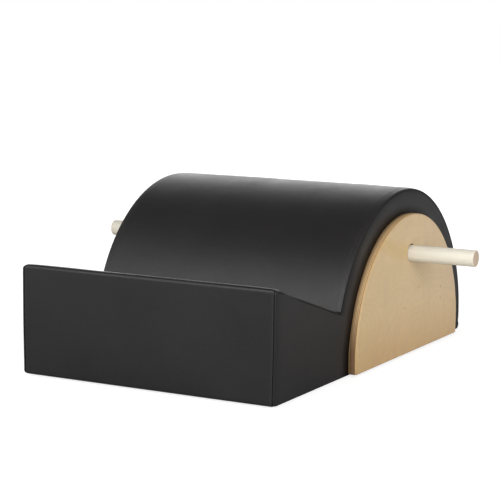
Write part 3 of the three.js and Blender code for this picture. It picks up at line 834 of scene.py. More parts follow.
@dataclass(frozen=True)
class PanelFinish(Finish):
    """Lacquered birch plywood with its grain along Y; plies show wherever the surface lies below the face veneer.

    Attributes:
        face: Distance of the outer face from the middle of the body.
        thickness: Thickness of the panel.
        core: Colour of the glue lines and knots, and of the painted shade on the inner rim of the edge, near the
            floor and in the bore.
        amber: Painted shade, a darker and warmer tint of the veneer near the floor.
        long_ply: Edge colour of the plies whose fibres run along the edge.
        cross_ply: Edge colour of the plies cut across their fibres.
        rosy: Colour of the darker bands of the figure.
        rounded: Tint of painted shade that dims the veneer and the plies on the round-over.
        sapwood: Tint, lighter and bluer, that the veneer takes on towards the back.
        heartwood: Tint of a painted reflection of the pole, a warm band in front of the bore.
        slope: Fall of that painted band along Y.
        lines: Growth lines over the full height of the noise that bends them.
        bore: Y, Z and radius within which the bore's wall gets painted shade.
        knots: Y and Z of small pin knots.
    """

    face: float = 0.2553
    thickness: float = 0.015
    core: Colour = (0.13, 0.064, 0.029)
    amber: Colour = (0.9, 0.82, 0.71)
    long_ply: Colour = (0.84, 0.61, 0.33)
    cross_ply: Colour = (0.58, 0.35, 0.15)
    rosy: Colour = (0.51, 0.365, 0.22)
    rounded: Colour = (0.78, 0.7, 0.6)
    sapwood: Colour = (1.17, 1.21, 1.38)
    heartwood: Colour = (0.93, 0.86, 0.68)
    slope: float = 0.24
    lines: float = 34.0
    bore: tuple[float, float, float] = (0.108985, 0.189, 0.0166)
    knots: tuple[tuple[float, float], ...] = ((0.0855, 0.0905), (0.2545, 0.1065), (0.1485, 0.1205), (0.2545, 0.0860))

    def paint(self, make: NodeMaker) -> dict[str, Any]:
        """Face veneer, plies on the edge and painted shade in the bore, under a thin lacquer.

        Args:
            make: Maker of the material's nodes.

        Returns:
            What fills the shader's inputs, and the Height.
        """
        x, y, z = make.xyz
        grain = make.group(make.effects.grain, Vector=make.stretched((4.0, 0.05, 1.0)))
        depth = self.face - abs(x)
        plies = make.group(make.effects.plies, Depth=depth, Thickness=self.thickness)
        # Painted shade dims the round-over of the face veneer.
        sanded = (make.band(depth, 0.0001, 0.001), self.rounded, "MULTIPLY")
        veneer = make.layered(self._veneer(make, grain), sanded)
        along, up, radius = self.bore
        # Painted shade darkens the bore's wall.
        bore_shade = 1.0 - make.band(make.reach(y - along, z - up), radius - 0.0004, radius)
        edge = self._edge(make, depth, plies)
        return {
            "Base Color": make.layered(veneer, (plies["Inner"], edge), (bore_shade, self.core)),
            "Roughness": grain["Fibre"] * 0.12 + plies["Inner"] * 0.2 + (self.roughness - 0.06),
            "Coat Weight": 0.12,
            "Coat Roughness": 0.3,
            "Specular IOR Level": 0.35,
            "Height": grain["Fibre"] * 0.3 - grain["Pore"],
        }

    def _veneer(self, make: NodeMaker, grain: dict[str, Wire]) -> Wire:
        """Colour of the face veneer: fibres, flames, growth lines, clouds, a lighter back, pores and pin knots, with
        a painted reflection of the pole and painted shade near the floor.

        Args:
            make: Maker of the material's nodes.
            grain: Outputs of the grain group.

        Returns:
            The colour.
        """
        _, y, z = make.xyz
        cloud = make.noise(make.stretched((1.0, 1.0, 0.45)), 9.0)
        spots = [1.0 - make.band(make.reach(y - along, (z - up) * 1.7), 0.0005, 0.0055) for along, up in self.knots]
        return make.layered(
            make.shades(make.band(grain["Fibre"] * 0.5 + grain["Figure"] * 0.5, 0.3, 0.7), self.colour, 0.93, 1.05),
            (self._flames(make) * 0.8, self.rosy),
            (self._growth_lines(make) * 0.42, tint(self.colour, 0.84)),
            # Painted reflection of the pole: a warm band in front of the bore.
            (self._streak(make, cloud), self.heartwood, "MULTIPLY"),
            (make.band(y, -0.1, 0.35), self.sapwood, "MULTIPLY"),
            (make.band(cloud, 0.35, 0.7) * 0.4, tint(self.colour, 0.9)),
            (grain["Pore"] * 0.15, tint(self.colour, 0.7)),
            # Painted shade: the veneer darkens and warms near the floor.
            (1.0 - make.band(z + cloud * 0.05, 0.03, 0.13), self.amber, "MULTIPLY"),
            *((spot * 0.42, self.core) for spot in spots),
        )

    def _edge(self, make: NodeMaker, depth: Wire, plies: dict[str, Wire]) -> Wire:
        """Colour of the edge: alternate plies and glue lines, with painted shade on the round-over, towards the inner
        rim and near the floor.

        Args:
            make: Maker of the material's nodes.
            depth: Depth below the face.
            plies: Outputs of the ply group.

        Returns:
            The colour.
        """
        fleck = make.noise(make.stretched((1.0, 0.25, 0.25)), 900.0, 2.0, 0.6)
        cross_ply = make.shades(fleck, self.cross_ply, 1.0, 0.7)
        long_ply = make.shades(fleck, self.long_ply, 1.0, 0.8)
        # Painted shade: the edge darkens towards the inner rim and near the floor.
        low = (1.0 - make.band(make.xyz[2], 0.045, 0.14)) * 0.86
        edge_shade = make.math("MAXIMUM", make.band(depth, 0.006, 0.0155), low * make.band(depth, 0.0022, 0.0046))
        return make.layered(
            make.mix(plies["Along"], cross_ply, long_ply),
            # Painted shade dims the plies on the round-over.
            (make.band(depth, 0.0045, 0.003), self.rounded, "MULTIPLY"),
            (edge_shade, self.core),
            (make.band(depth, 0.0085, 0.0145) * low, tint(self.core, 0.3)),
            (plies["Glue"] * 0.7, self.core),
        )

    @staticmethod
    def _flames(make: NodeMaker) -> Wire:
        """Curly figure: soft upright streaks of a bent noise, in patches."""
        streaks = make.band(make.noise(make.stretched((1.0, 1.0, 0.35)), 34.0, warp=0.8), 0.46, 0.68)
        return streaks * make.band(make.noise(make.where, 13.0), 0.4, 0.6)

    def _growth_lines(self, make: NodeMaker) -> Wire:
        """Growth lines as a rotary cut shows them: level lines of a slow hilly noise, drawn by a saw-tooth."""
        tooth = make.math("FRACT", make.noise(make.stretched((1.0, 0.55, 1.0)), 5.0, 2.0, 0.45, 0.4) * self.lines)
        return make.band(tooth, 0.35, 1.0) * make.band(tooth, 1.0, 0.9)

    def _streak(self, make: NodeMaker, cloud: Wire) -> Wire:
        """Painted reflection of the pole: a band that starts at the bore and rises and fades towards the front edge.

        Args:
            make: Maker of the material's nodes.
            cloud: Slow noise that bends the band.

        Returns:
            Mask of the painted reflection.
        """
        _, y, z = make.xyz
        along, up, radius = self.bore
        height = z - (up + self.slope * along - y * self.slope) + (cloud - 0.5) * 0.02
        across = 1.0 - make.band(abs(height), 0.3 * radius, 1.1 * radius)
        return across * make.band(y, along - 0.38, along - 0.05) * (y < along)


@dataclass(frozen=True)
class PoleFinish(Finish):
    """Pale sanded hardwood turned along X, with growth rings on its sawn ends.

    Attributes:
        end: Colour of the ends.
        pith: Y and Z about which the rings lie.
        ring: Width of a ring.
    """

    end: Colour = (0.5, 0.39, 0.29)
    pith: tuple[float, float] = (0.116, 0.176)
    ring: float = 0.0019

    def paint(self, make: NodeMaker) -> dict[str, Any]:
        """Long fibres on the side, rings about an off-centre pith on the ends, which the tip attribute marks.

        Args:
            make: Maker of the material's nodes.

        Returns:
            What fills the shader's inputs, and the Height.
        """
        _, y, z = make.xyz
        tip = make.attribute("tip")
        grain = make.group(make.effects.grain, Vector=make.stretched((0.03, 1.0, 1.0)))
        side = make.shades(make.band(grain["Fibre"] * 0.6 + grain["Figure"] * 0.4, 0.3, 0.7), self.colour, 0.9, 1.04)
        reach = make.reach(y - self.pith[0], z - self.pith[1]) + make.noise(make.where, 160.0) * 0.0012
        rings = make.shades(make.band(make.math("FRACT", reach / self.ring), 0.55, 1.0), self.end, 1.0, 0.72)
        return {
            "Base Color": make.layered(side, (grain["Pore"] * 0.25, tint(self.colour, 0.7)), (tip, rings)),
            "Roughness": grain["Fibre"] * 0.14 + tip * 0.25 + (self.roughness - 0.07),
            "Height": grain["Fibre"],
        }


@dataclass(frozen=True)
class BoardFinish(Finish):
    """Raw plywood boards of the carcass, seen only when the covers are off; plies follow one axis.

    Attributes:
        across: Axis along the board's thickness.
        ply: Thickness of a ply.
    """

    across: Axis = Axis.X
    ply: float = 0.0015

    def paint(self, make: NodeMaker) -> dict[str, Any]:
        """Face grain, and plies as bands of the coordinate across the board on its edges.

        Args:
            make: Maker of the material's nodes.

        Returns:
            What fills the shader's inputs, and the Height.
        """
        index = self.across.value
        stretch = (4.0, 0.06, 1.0) if self.across is Axis.X else (0.06, 4.0, 1.0)
        fibre = make.group(make.effects.grain, Vector=make.stretched(stretch))["Fibre"]
        normal = make.axes(make.get("NewGeometry", output="Normal"))[index]
        layer = make.math("PINGPONG", make.xyz[index] / self.ply, 1.0)
        face = make.shades(make.band(fibre, 0.3, 0.7), self.colour, 0.8, 1.12)
        edge = make.shades(make.band(layer, 0.4, 0.6), self.colour, 0.5, 0.95)
        return {
            "Base Color": make.mix(abs(normal) < 0.7, face, edge),
            "Roughness": fibre * 0.2 + (self.roughness - 0.1),
            "Height": fibre,
        }


@dataclass(frozen=True)
class ClothFinish(Finish):
    """Thin non-woven cloth: matted fibres with rows of small welded dots.

    Attributes:
        dots: Dots per metre.
    """

    dots: float = 420.0

    def paint(self, make: NodeMaker) -> dict[str, Any]:
        """Fibre noise lightens the black a little; the welded dots are smooth and sunk.

        Args:
            make: Maker of the material's nodes.

        Returns:
            What fills the shader's inputs, and the Height.
        """
        fibres = make.noise(make.where, 1800.0, 4.0, 0.7)
        cells = {"Vector": make.where, "Scale": self.dots, "Randomness": 0.05}
        dot = make.get("TexVoronoi", cells, "Distance") < 0.28
        matted = make.shades(make.band(fibres, 0.35, 0.7), self.colour, 0.7, 1.6)
        return {
            "Base Color": make.mix(dot * 0.6, matted, tint(self.colour, 0.5)),
            "Roughness": self.roughness - dot * 0.25,
            "Sheen Weight": 0.15,
            "Height": fibres - dot,
        }


@dataclass(frozen=True)
class MouldedFinish(Finish):
    """Moulded rubber or plastic: an even colour with a fine spark texture and dull patches.

    Attributes:
        texture: Scale of the spark texture.
    """

    texture: float = 1500.0

    def paint(self, make: NodeMaker) -> dict[str, Any]:
        """Clouds shift the colour and gloss; a fine noise is the mould's texture.

        Args:
            make: Maker of the material's nodes.

        Returns:
            What fills the shader's inputs, and the Height.
        """
        cloud = make.group(make.effects.marks, Clouds=40.0)["Cloud"]
        return {
            "Base Color": make.shades(cloud, self.colour, 0.85, 1.2),
            "Roughness": cloud * 0.1 + (self.roughness - 0.05),
            "Height": make.noise(make.where, self.texture, 2.0, 0.6),
        }


@dataclass(frozen=True)
class MetalFinish(Finish):
    """Zinc-plated steel with fine drawn lines."""

    def paint(self, make: NodeMaker) -> dict[str, Any]:
        """Streaks along the wire vary the gloss; clouds dull the zinc.

        Args:
            make: Maker of the material's nodes.

        Returns:
            What fills the shader's inputs, and the Height.
        """
        lines = make.noise(make.stretched((1.0, 1.0, 0.1)), 2400.0)
        return {
            "Base Color": make.shades(make.group(make.effects.marks, Clouds=90.0)["Cloud"], self.colour, 0.8, 1.1),
            "Roughness": lines * 0.2 + (self.roughness - 0.1),
            "Metallic": 1.0,
            "Height": lines,
        }


class Finishes:
    """Every material of the object."""

    def __init__(self) -> None:
        """Makes the shared groups and then each material."""
        effects = SharedEffects()
        self.vinyl = VinylFinish("Black vinyl", (0.0112, 0.0100, 0.0103), 0.42, 0.00006).material(effects)
        self.panel = PanelFinish("Lacquered birch plywood", (0.548, 0.406, 0.224), 0.5, 0.00004).material(effects)
        self.pole = PoleFinish("Pale hardwood", (0.735, 0.70, 0.60), 0.46, 0.00004).material(effects)
        raw = (0.5, 0.36, 0.19), 0.7, 0.00008
        boards = {axis: BoardFinish(f"Raw plywood across {axis.name}", *raw, axis) for axis in Axis}
        self.boards = {axis: board.material(effects) for axis, board in boards.items()}
        self.cloth = ClothFinish("Black non-woven cloth", (0.016, 0.016, 0.017), 0.85, 0.0001).material(effects)
        self.thread = ClothFinish("Black thread", (0.012, 0.0115, 0.0115), 0.55, 0.00005, 2500.0).material(effects)
        self.rubber = MouldedFinish("Black rubber", (0.014, 0.014, 0.014), 0.7, 0.00005).material(effects)
        self.plastic = MouldedFinish("Plain pipe plastic", (0.68, 0.68, 0.66), 0.45, 0.00003).material(effects)
        self.foam = MouldedFinish("Open-cell foam", (0.62, 0.57, 0.43), 0.95, 0.0004, 700.0).material(effects)
        self.steel = MetalFinish("Zinc-plated steel", (0.52, 0.52, 0.5), 0.38, 0.00002).material(effects)


# ---- The object ----


@dataclass(frozen=True)
class BodySizes:
    """Outside sizes of the upholstered body, as the CAD source has them."""

    half_width: float = 0.2413
    front: float = -0.3913
    rear: float = 0.3905
    underside: float = 0.0032
    barrel_radius: float = 0.2826
    barrel_y: float = 0.108985
    barrel_z: float = 0.0225
    well_y: float = -0.15585
    well_z: float = 0.1191
    lip_roll: float = 0.0065
    lip_top: float = 0.1918
    shoulder: float = 0.0437
    seat_z: float = 0.1770
    crest_pull: float = 0.3
    seat_pull: float = 0.4
    rear_round: float = 0.009
    front_round: float = 0.005
    side_round: float = 0.007
    foam_depth: float = 0.0218
    pad_depth: float = 0.004
    vinyl: float = 0.0011
    hem: float = 0.018
    board_top: float = 0.0158

    @property
    def seat_start(self) -> np.ndarray:
        """Where the lip's shoulder meets the straight seat."""
        return np.array([self.front + self.lip_roll + self.shoulder, self.seat_z])

    @property
    def well(self) -> np.ndarray:
        """Where the seat meets the barrel."""
        return np.array([self.well_y, self.well_z])

    @property
    def seat_forward(self) -> np.ndarray:
        """Unit direction down the seat."""
        return unit(self.well - self.seat_start)

    @property
    def barrel_centre(self) -> tuple[float, float]:
        """Centre of the barrel's circle."""
        return (self.barrel_y, self.barrel_z)

    @property
    def well_angle(self) -> float:
        """Angle of the well's corner about the barrel's centre, in degrees."""
        return math.degrees(math.atan2(self.well_z - self.barrel_z, self.well_y - self.barrel_y))

    def shoulder_curve(self) -> Trace:
        """Cubic curve from the lip's crest down to the seat: cubic Bernstein weights on four points.

        Returns:
            The curve.
        """
        crest = np.array([self.front + self.lip_roll, self.lip_top])
        points = [
            crest,
            crest + [self.shoulder * self.crest_pull, 0.0],
            self.seat_start - self.seat_forward * self.shoulder * self.seat_pull,
            self.seat_start,
        ]
        t = np.linspace(0.0, 1.0, 120)[:, None]
        weights = [(1 - t) ** 3, 3 * t * (1 - t) ** 2, 3 * t * t * (1 - t), t**3]
        return Trace.curve(sum(w * p for w, p in zip(weights, points)))

    def lip_arc(self, start: float, end: float) -> Trace:
        """Arc of the lip's roll between two angles in degrees."""
        return Trace.arc((self.front + self.lip_roll, self.lip_top - self.lip_roll), self.lip_roll, start, end)


@dataclass(frozen=True)
class SewnEdge:
    """Cross-section of a cover near its side seams.

    The surface is crowned by a high power of the distance from the middle. Near the side, where it
    carries a shallow stitched channel, it falls by a power of the distance, then rolls over a small
    radius and tucks down into the seam, below which the side pad starts.
    """

    border: float = 0.018
    crown: float = 0.0006
    power: float = 10.0
    channel: float = 0.0092
    channel_depth: float = 0.0002
    channel_width: float = 0.0012
    shoulder: float = 0.015
    fall: float = 0.0010
    fall_power: float = 2.0
    reach: float = 0.0013
    roll: float = 0.0018
    tuck_across: float = 0.0040
    tuck_depth: float = 0.0068
    bead: float = 0.0009
    seam: float = 0.0040

    def columns(self, half_width: float) -> tuple[np.ndarray, np.ndarray, np.ndarray]:
        """X, depth and distance from the seam of each column, from the left tuck to the right one.

        Args:
            half_width: Distance of the arris from the middle.

        Returns:
            Three arrays of the same length.
        """
        near, start = half_width - self.border, half_width - self.reach
        flat = np.concatenate([np.linspace(0.0, near, 26)[:-1], np.linspace(near, start, 31)])
        run = self.shoulder - self.reach
        strip = np.clip((flat - half_width + self.shoulder) / run, 0.0, 1.0)
        depth = self.crown * (flat / half_width) ** self.power + self.fall * strip**self.fall_power
        depth = depth + self.channel_depth * np.exp(-(((flat - half_width + self.channel) / self.channel_width) ** 2))
        tilt = math.atan(self.fall * self.fall_power / run)
        angle = np.linspace(math.pi / 2 - tilt, 0.0, 7)
        middle = start - self.roll * math.sin(tilt), depth[-1] + self.roll * math.cos(tilt)
        across = np.concatenate([flat, middle[0] + self.roll * np.cos(angle[1:]), [half_width - self.tuck_across]])
        depth = np.concatenate([depth, middle[1] - self.roll * np.sin(angle[1:]), [self.tuck_depth]])
        seam = np.concatenate([half_width - flat - 0.001, np.linspace(0.002, 0.0, 6), [0.0]])
        left = (-across, depth, seam)
        return tuple(np.concatenate([half[:0:-1], whole]) for half, whole in zip(left, (across, depth, seam)))


def rolled_end(distance: np.ndarray, radius: float) -> np.ndarray:
    """Depth of a quarter-round end at a distance from it: r - sqrt(r^2 - (r - s)^2), and 0 past r."""
    inside = np.clip(radius - distance, 0.0, radius)
    return radius - np.sqrt(radius**2 - inside**2)


@dataclass
class Upholstery:
    """Covers and foam of the body: barrel, seat with lip, front pad and side pads, with their stitches."""

    sizes: BodySizes = BodySizes()
    edge: SewnEdge = SewnEdge()
    front_edge: SewnEdge = SewnEdge(
        crown=0.0004,
        channel_depth=0.0,
        shoulder=0.0095,
        fall=0.0003,
        reach=0.0053,
        roll=0.0016,
        tuck_across=0.0057,
        tuck_depth=0.0048,
        bead=0.0013,
        seam=0.0009,
    )
    well_gap: float = 0.25
    seat_gap: float = 0.0003
    lip_seam: float = 125.0
    lip_gap: float = 0.8
    lip_depth: float = 0.0046
    end_round: float = 0.0025
    seam_round: float = 0.0007
    swell: float = 0.00022
    swell_reach: float = 0.03
    pucker: float = 0.00016
    pucker_reach: float = 0.005
    pucker_pitch: float = 0.009
    corner_drop: float = 0.0022
    corner_reach: float = 0.009
    draw_in: float = 0.0013
    draw_height: float = 0.1
    side_lift: float = 0.0007
    side_swell: float = 0.0014
    side_unevenness: float = 0.00025
    side_reach: float = 0.016
    flange: float = 0.0068
    flange_depth: float = 0.0013
    flange_back: float = 0.0042
    rim_reach: float = 0.004
    # Width and reach of the painted shade along the seams.
    fold_width: float = 0.0005
    fold_reach: float = 0.006
    # At the front the painted seam shade and the groove's floor are weaker by this share.
    front_fold: float = 0.3
    panel_cover: float = 0.006
    press_reach: float = 0.016
    bore_clearance: float = 0.001
    ray_centre: tuple[float, float] = (0.010, 0.050)
    inner_inset: float = 0.0044
    hem_band: float = 0.014
    hem_inset: float = 0.0026
    hem_ends: tuple[float, float] = (0.012, 0.014)
    hem_wander: float = 0.001
    stitch_pitch: float = 0.0062
    thread_radius: float = 0.00034
    thread_bow: float = 0.00035
    thread_sunk: float = 0.00025

    def relief(self, across: np.ndarray, along: np.ndarray, seam: np.ndarray, seed: int) -> np.ndarray:
        """Depth changes of a taut cover: a slow swell away from the seams and small puckers close to them.

        Args:
            across: X of each grid point.
            along: Distance along the cover of each grid point.
            seam: Distance from the nearest side seam.
            seed: Seed of the random draw.

        Returns:
            Depth to add at each grid point.
        """
        slow = waves(across, along, 0.07, 0.3, seed) * smooth(seam / self.swell_reach) * self.swell
        phase = 2 * np.pi * along / self.pucker_pitch + 1.4 * waves(across * 0, along, 0.03, 0.12, seed + 1)
        tight = np.cos(phase + np.sign(across)) * np.exp(-seam / self.pucker_reach) * self.pucker
        return slow + tight

    def drawn(self, points: np.ndarray) -> np.ndarray:
        """Pulls the covers in towards the base and rounds the lip's two top corners.

        The sides come in by a smooth step of the height. The corners fall by the square of how near they
        are to the side, which fades out over the shoulder behind the lip and over the top of the front.

        Args:
            points: Points in an array that ends in 3.

        Returns:
            The moved points.
        """
        size = self.sizes
        aside = np.clip(1 - (size.half_width - np.abs(points[..., 0])) / self.corner_reach, 0.0, 1.0)
        back = 1 - smooth((points[..., 1] - size.front - size.lip_roll) / (size.shoulder * 1.2))
        high = smooth((points[..., 2] - size.lip_top + 0.03) / 0.02)
        moved = points.copy()
        moved[..., 2] -= self.corner_drop * aside**2 * back * high
        low = 1 - smooth((points[..., 2] - size.underside) / self.draw_height)
        moved[..., 0] *= 1 - self.draw_in / size.half_width * low
        return moved

    def build_barrel(self) -> bpy.types.Object:
        """Barrel cushion from the well over the top, down the back and under the base.

        Returns:
            The new object.
        """
        size = self.sizes
        rear = (size.rear - size.rear_round, size.underside + size.rear_round)
        line = Trace.joined(
            Trace.arc(size.barrel_centre, size.barrel_radius, size.well_angle + self.well_gap, 0.0),
            Trace.line((size.rear, size.barrel_z - STEP), (size.rear, rear[1] + STEP)),
            Trace.arc(rear, size.rear_round, 0.0, -90.0),
            Trace.line((rear[0] - STEP, size.underside), (rear[0] - size.hem, size.underside)),
        ).resampled(finest=0.0004, coarsest=0.0048)
        thick = np.where(line.points[:, 1] < size.board_top + STEP, size.vinyl, size.foam_depth)
        return self._cushion("barrel_cushion", line, self.edge, thick, (self.end_round, 0.0), 11)

    def build_seat(self) -> bpy.types.Object:
        """Seat cushion from the seam on the lip over its roll and down to the well.

        Its inner surface is a line at the foam's depth below the seat, from behind the lip to the well.

        Returns:
            The new object.
        """
        size = self.sizes
        end = size.well - size.seat_forward * self.seat_gap
        line = Trace.joined(
            size.lip_arc(self.lip_seam, 90.0),
            size.shoulder_curve(),
            Trace.line(size.seat_start, end),
        ).resampled(finest=0.0003, coarsest=0.0048)
        inward = np.array([size.seat_forward[1], -size.seat_forward[0]])
        foot = size.seat_start + inward * size.foam_depth
        start = foot + size.seat_forward * (size.front + self.lip_depth - foot[0]) / size.seat_forward[0]
        finish = end + inward * size.foam_depth
        share = (line.points[:, 0] - line.points[0, 0]) / (line.points[-1, 0] - line.points[0, 0])
        floor = start + (finish - start) * share[:, None]
        return self._cushion("seat_cushion", line, self.edge, None, (self.seam_round, self.end_round), 23, floor)

    def build_front(self) -> bpy.types.Object:
        """Front pad from under the base, up the front and over the lip's roll to the seam.

        Returns:
            The new object.
        """
        size = self.sizes
        low = (size.front + size.front_round, size.underside + size.front_round)
        line = Trace.joined(
            Trace.line((low[0] + size.hem, size.underside), (low[0] + STEP, size.underside)),
            Trace.arc(low, size.front_round, 270.0, 180.0),
            Trace.line((size.front, low[1] + STEP), (size.front, size.lip_top - size.lip_roll - STEP)),
            size.lip_arc(180.0, self.lip_seam + self.lip_gap),
        )
        line = Trace(line.points, np.abs(line.outward) * np.sign(line.points - [0.0, 0.1]))
        line = line.resampled(finest=0.0003, coarsest=0.0055)
        rise = smooth((line.points[:, 1] - size.underside) / 0.005) * (line.points[:, 0] < low[0])
        thick = size.vinyl + (size.pad_depth - size.vinyl) * rise
        return self._cushion("front_pad", line, self.front_edge, thick, (0.0, self.seam_round), 37)

    def _cushion(
        self,
        name: str,
        line: Trace,
        edge: SewnEdge,
        thick: np.ndarray | None,
        rolls: tuple[float, float],
        seed: int,
        floor: np.ndarray | None = None,
    ) -> bpy.types.Object:
        """Closed cushion over a side-view line.

        The outer grid sinks by the section's depth, the rolled ends and the relief; the inner one lies at
        the given thickness or floor.

        Args:
            name: Name of the piece.
            line: Side-view line of the outer surface.
            edge: Cross-section.
            thick: Thickness at each row, or None where a floor is given.
            rolls: Radius of the rolled first end and of the last, or 0.
            seed: Seed of the relief.
            floor: Y and Z of the inner surface at each row.

        Returns:
            The new object.
        """
        across, depth, seam = edge.columns(self.sizes.half_width)
        length = line.length
        shape = (len(length), len(across))
        near = np.broadcast_to(seam, shape)
        along = np.broadcast_to(length[:, None], shape)
        sink = depth + self.relief(np.broadcast_to(across, shape), along, near, seed)
        if thick is not None:
            sink = sink * np.minimum(1.0, thick / self.sizes.pad_depth)[:, None] ** 1.5
            floor = line.points - line.outward * thick[:, None]
        for distance, radius in zip((length, length[-1] - length), rolls):
            if radius:
                sink = sink + rolled_end(distance, radius)[:, None]
        limit = self.sizes.half_width - self.inner_inset
        under = np.broadcast_to(np.clip(across, -limit, limit), shape)[..., None]
        inner = np.concatenate([under, np.repeat(floor[:, None], shape[1], 1)], -1)
        # Each point carries its rubbed rim and the painted shade along the seam.
        values = {"rim": np.exp(-near / self.rim_reach), "fold": np.exp(-near / self.fold_width)}
        return shell(name, self.drawn(line.lift(across, sink)), self.drawn(inner), **values)

    def side_outline(self) -> tuple[Trace, np.ndarray, np.ndarray, np.ndarray]:
        """Outline of a side pad on the body's arris.

        Returns:
            The outline, and at each point its edge's inset and radius and the share of the painted seam shade.
        """
        size = self.sizes
        front = (size.front + size.side_round, size.underside + size.side_round)
        rear = (size.rear - size.rear_round, size.underside + size.rear_round)
        parts = [
            Trace.arc(front, size.side_round, 270.0, 180.0),
            Trace.line((size.front, front[1]), (size.front, size.lip_top - size.lip_roll)),
            size.lip_arc(180.0, 90.0),
            size.shoulder_curve(),
            Trace.line(size.seat_start, size.well),
            Trace.arc(size.barrel_centre, size.barrel_radius, size.well_angle, 0.0),
            Trace.line((size.rear, size.barrel_z), (size.rear, rear[1])),
            Trace.arc(rear, size.rear_round, 0.0, -90.0),
            Trace.line((rear[0], size.underside), (front[0], size.underside)),
        ]
        outline = Trace.joined(*parts).resampled(finest=0.0008, coarsest=0.0055, closed=True)
        y, z = outline.points.T
        behind = smooth((y - size.front) / 0.01)
        ahead = (self.front_edge.seam, self.front_edge.bead, self.front_fold)
        top, bead, shade = (a + (b - a) * behind for a, b in zip(ahead, (self.edge.seam, self.edge.bead, 1.0)))
        inset = top + (self.side_lift - top) * smooth(1 - (z - size.underside) / 0.008)
        return outline, inset, bead, shade

    def build_side(self, side: Side, panels: "SidePanels") -> bpy.types.Object:
        """Side pad as a plate with one hole, round which its rings run.

        The rings go from the bore's inner rim out to the wooden panel's edge, on to the body's arris,
        round the rolled edge and back along the inner face. Rays from a point low in the barrel match
        the points of the panel's edge to those of the arris.

        Args:
            side: Which side.
            panels: The wooden panels, for their outline and bore.

        Returns:
            The new object.
        """
        size = self.sizes
        outline, inset, roll, shade = self.side_outline()
        hub, arch = np.array(self.ray_centre), panels.outline().points
        low = inset + roll
        face_line = outline.points - outline.outward * low[:, None]
        heading = bearing(face_line, hub)
        arch_reach = np.linalg.norm(arch - hub, axis=1)
        reach = np.interp(heading, bearing(arch, hub), arch_reach, period=2 * np.pi) - self.panel_cover
        arch_line = hub + polar(heading) * reach[:, None]
        bore_radius = panels.bore_radius + self.bore_clearance
        bore_line = panels.bore + bore_radius * polar(bearing(arch_line, panels.bore))
        inner, outer = size.half_width - size.pad_depth, size.half_width
        along = outline.length
        rings, reaches, seam_shades = [], [], []

        def ring(line: np.ndarray, out: Any, fold: Any) -> None:
            """Adds a ring at a distance out from the middle of the body, with its share of the painted seam shade.

            Args:
                line: Y and Z of its points.
                out: Distance from the middle.
                fold: Share of the painted seam shade.
            """
            rings.append(line)
            reaches.append(np.broadcast_to(out, len(line)))
            seam_shades.append(shade * fold)

        ring(bore_line, inner, 0.0)
        ring(bore_line, outer, 0.0)
        ring(arch_line, outer, 0.0)
        for share in smooth(np.linspace(0.0, 1.0, 20))[1:-1]:
            line = arch_line + (face_line - arch_line) * share
            gap = np.linalg.norm(face_line - line, axis=1)
            clear = np.linalg.norm(line - arch_line, axis=1) - self.panel_cover
            away = 1 - np.clip(1 - gap / self.side_reach, 0.0, 1.0) ** 2
            swollen = self.side_swell * away * smooth(clear / self.press_reach + 0.15)
            slow = self.side_unevenness * waves(line[:, 0], line[:, 1], 0.06, 0.25, 51) * smooth(gap / 0.02)
            # Painted shade along the seam fades with the distance from it.
            ring(line, outer + swollen + slow, np.exp(-gap / self.fold_reach))
        for angle in np.radians(np.linspace(0.0, 170.0, 12)):
            lift = roll * math.sin(angle)
            line = outline.points - outline.outward * (low - lift)[:, None]
            tight = self.pucker * np.abs(np.cos(np.pi * along / self.pucker_pitch)) * math.sin(angle)
            ring(line, outer - roll * (1 - math.cos(angle)) - tight, 1.0)
        floor = self.flange_depth * shade
        behind = ((self.flange_back, self.flange), (self.flange_back, size.pad_depth))
        for deeper, out in ((floor, 2 * roll), (floor, self.flange), *behind):
            ring(outline.points - outline.outward * (low + deeper)[:, None], outer - out, 1.0)
        ring(arch_line, inner, 0.0)
        points = np.concatenate([side.value * np.stack(reaches)[..., None], np.stack(rings)], -1)
        return ring_body(f"side_pad_{side.word}", self.drawn(points), fold=np.stack(seam_shades))

    def build_hem(self, side: Side) -> tuple[bpy.types.Object, tuple[float, float]]:
        """Turned-under edge of a side pad, beneath the base: a thin band whose inner edge wanders a little.

        Args:
            side: Side of the body.

        Returns:
            The new object, and the length and the width that the band is cut to.
        """
        size = self.sizes
        along = np.linspace(size.front + self.hem_ends[0], size.rear - self.hem_ends[1], 90)
        share = np.linspace(0.0, 1.0, 7)
        wander = self.hem_wander * waves(along, along * 0, 0.05, 0.2, 61 + side.value)
        across = size.half_width - self.hem_inset - share * (self.hem_band + wander[:, None])
        low = np.full_like(across, size.underside)
        flat = np.stack([side.value * across, np.broadcast_to(along[:, None], across.shape), low], -1)
        hem = shell(f"side_hem_{side.word}", flat, flat + [0.0, 0.0, size.vinyl], rim=np.zeros(across.shape))
        return hem, (float(np.ptp(along)), self.hem_band)

    def build_stitches(self, name: str, line: Trace) -> bpy.types.Object:
        """Row of stitches in both channels: short capsules that bow up between their needle holes.

        Each stitch is a swept circle of six points at five places; its middle line rises by a sine and
        its radius shrinks at the holes.

        Args:
            name: Name of the piece.
            line: Side-view line of the cover that the stitches lie on.

        Returns:
            The new object.
        """
        size = self.sizes
        count = int(line.length[-1] / self.stitch_pitch)
        share = np.linspace(0.08, 0.92, 5)
        along = line.at((np.arange(count)[:, None] + share) * self.stitch_pitch)
        across, depth, _ = self.edge.columns(size.half_width)
        x = size.half_width - self.edge.channel
        bow = self.thread_bow * np.sin(np.pi * share) - self.thread_sunk
        middle = along.points - along.outward * (np.interp(x, across, depth) - bow)[:, None]
        thick = self.thread_radius * np.array([0.45, 0.95, 1.0, 0.95, 0.45])[:, None]
        turn = np.linspace(0.0, 2 * np.pi, 6, endpoint=False)
        rise = (thick * np.sin(turn))[..., None] * along.outward[:, :, None, :]
        grid = np.zeros((2, count, 5, 6, 3))
        grid[..., 0] = np.array([side.value * x for side in Side])[:, None, None, None] + thick * np.cos(turn)
        grid[..., 1:] = middle[:, :, None, :] + rise
        return tubes(name, grid.reshape(-1, 5, 6, 3), 60.0)

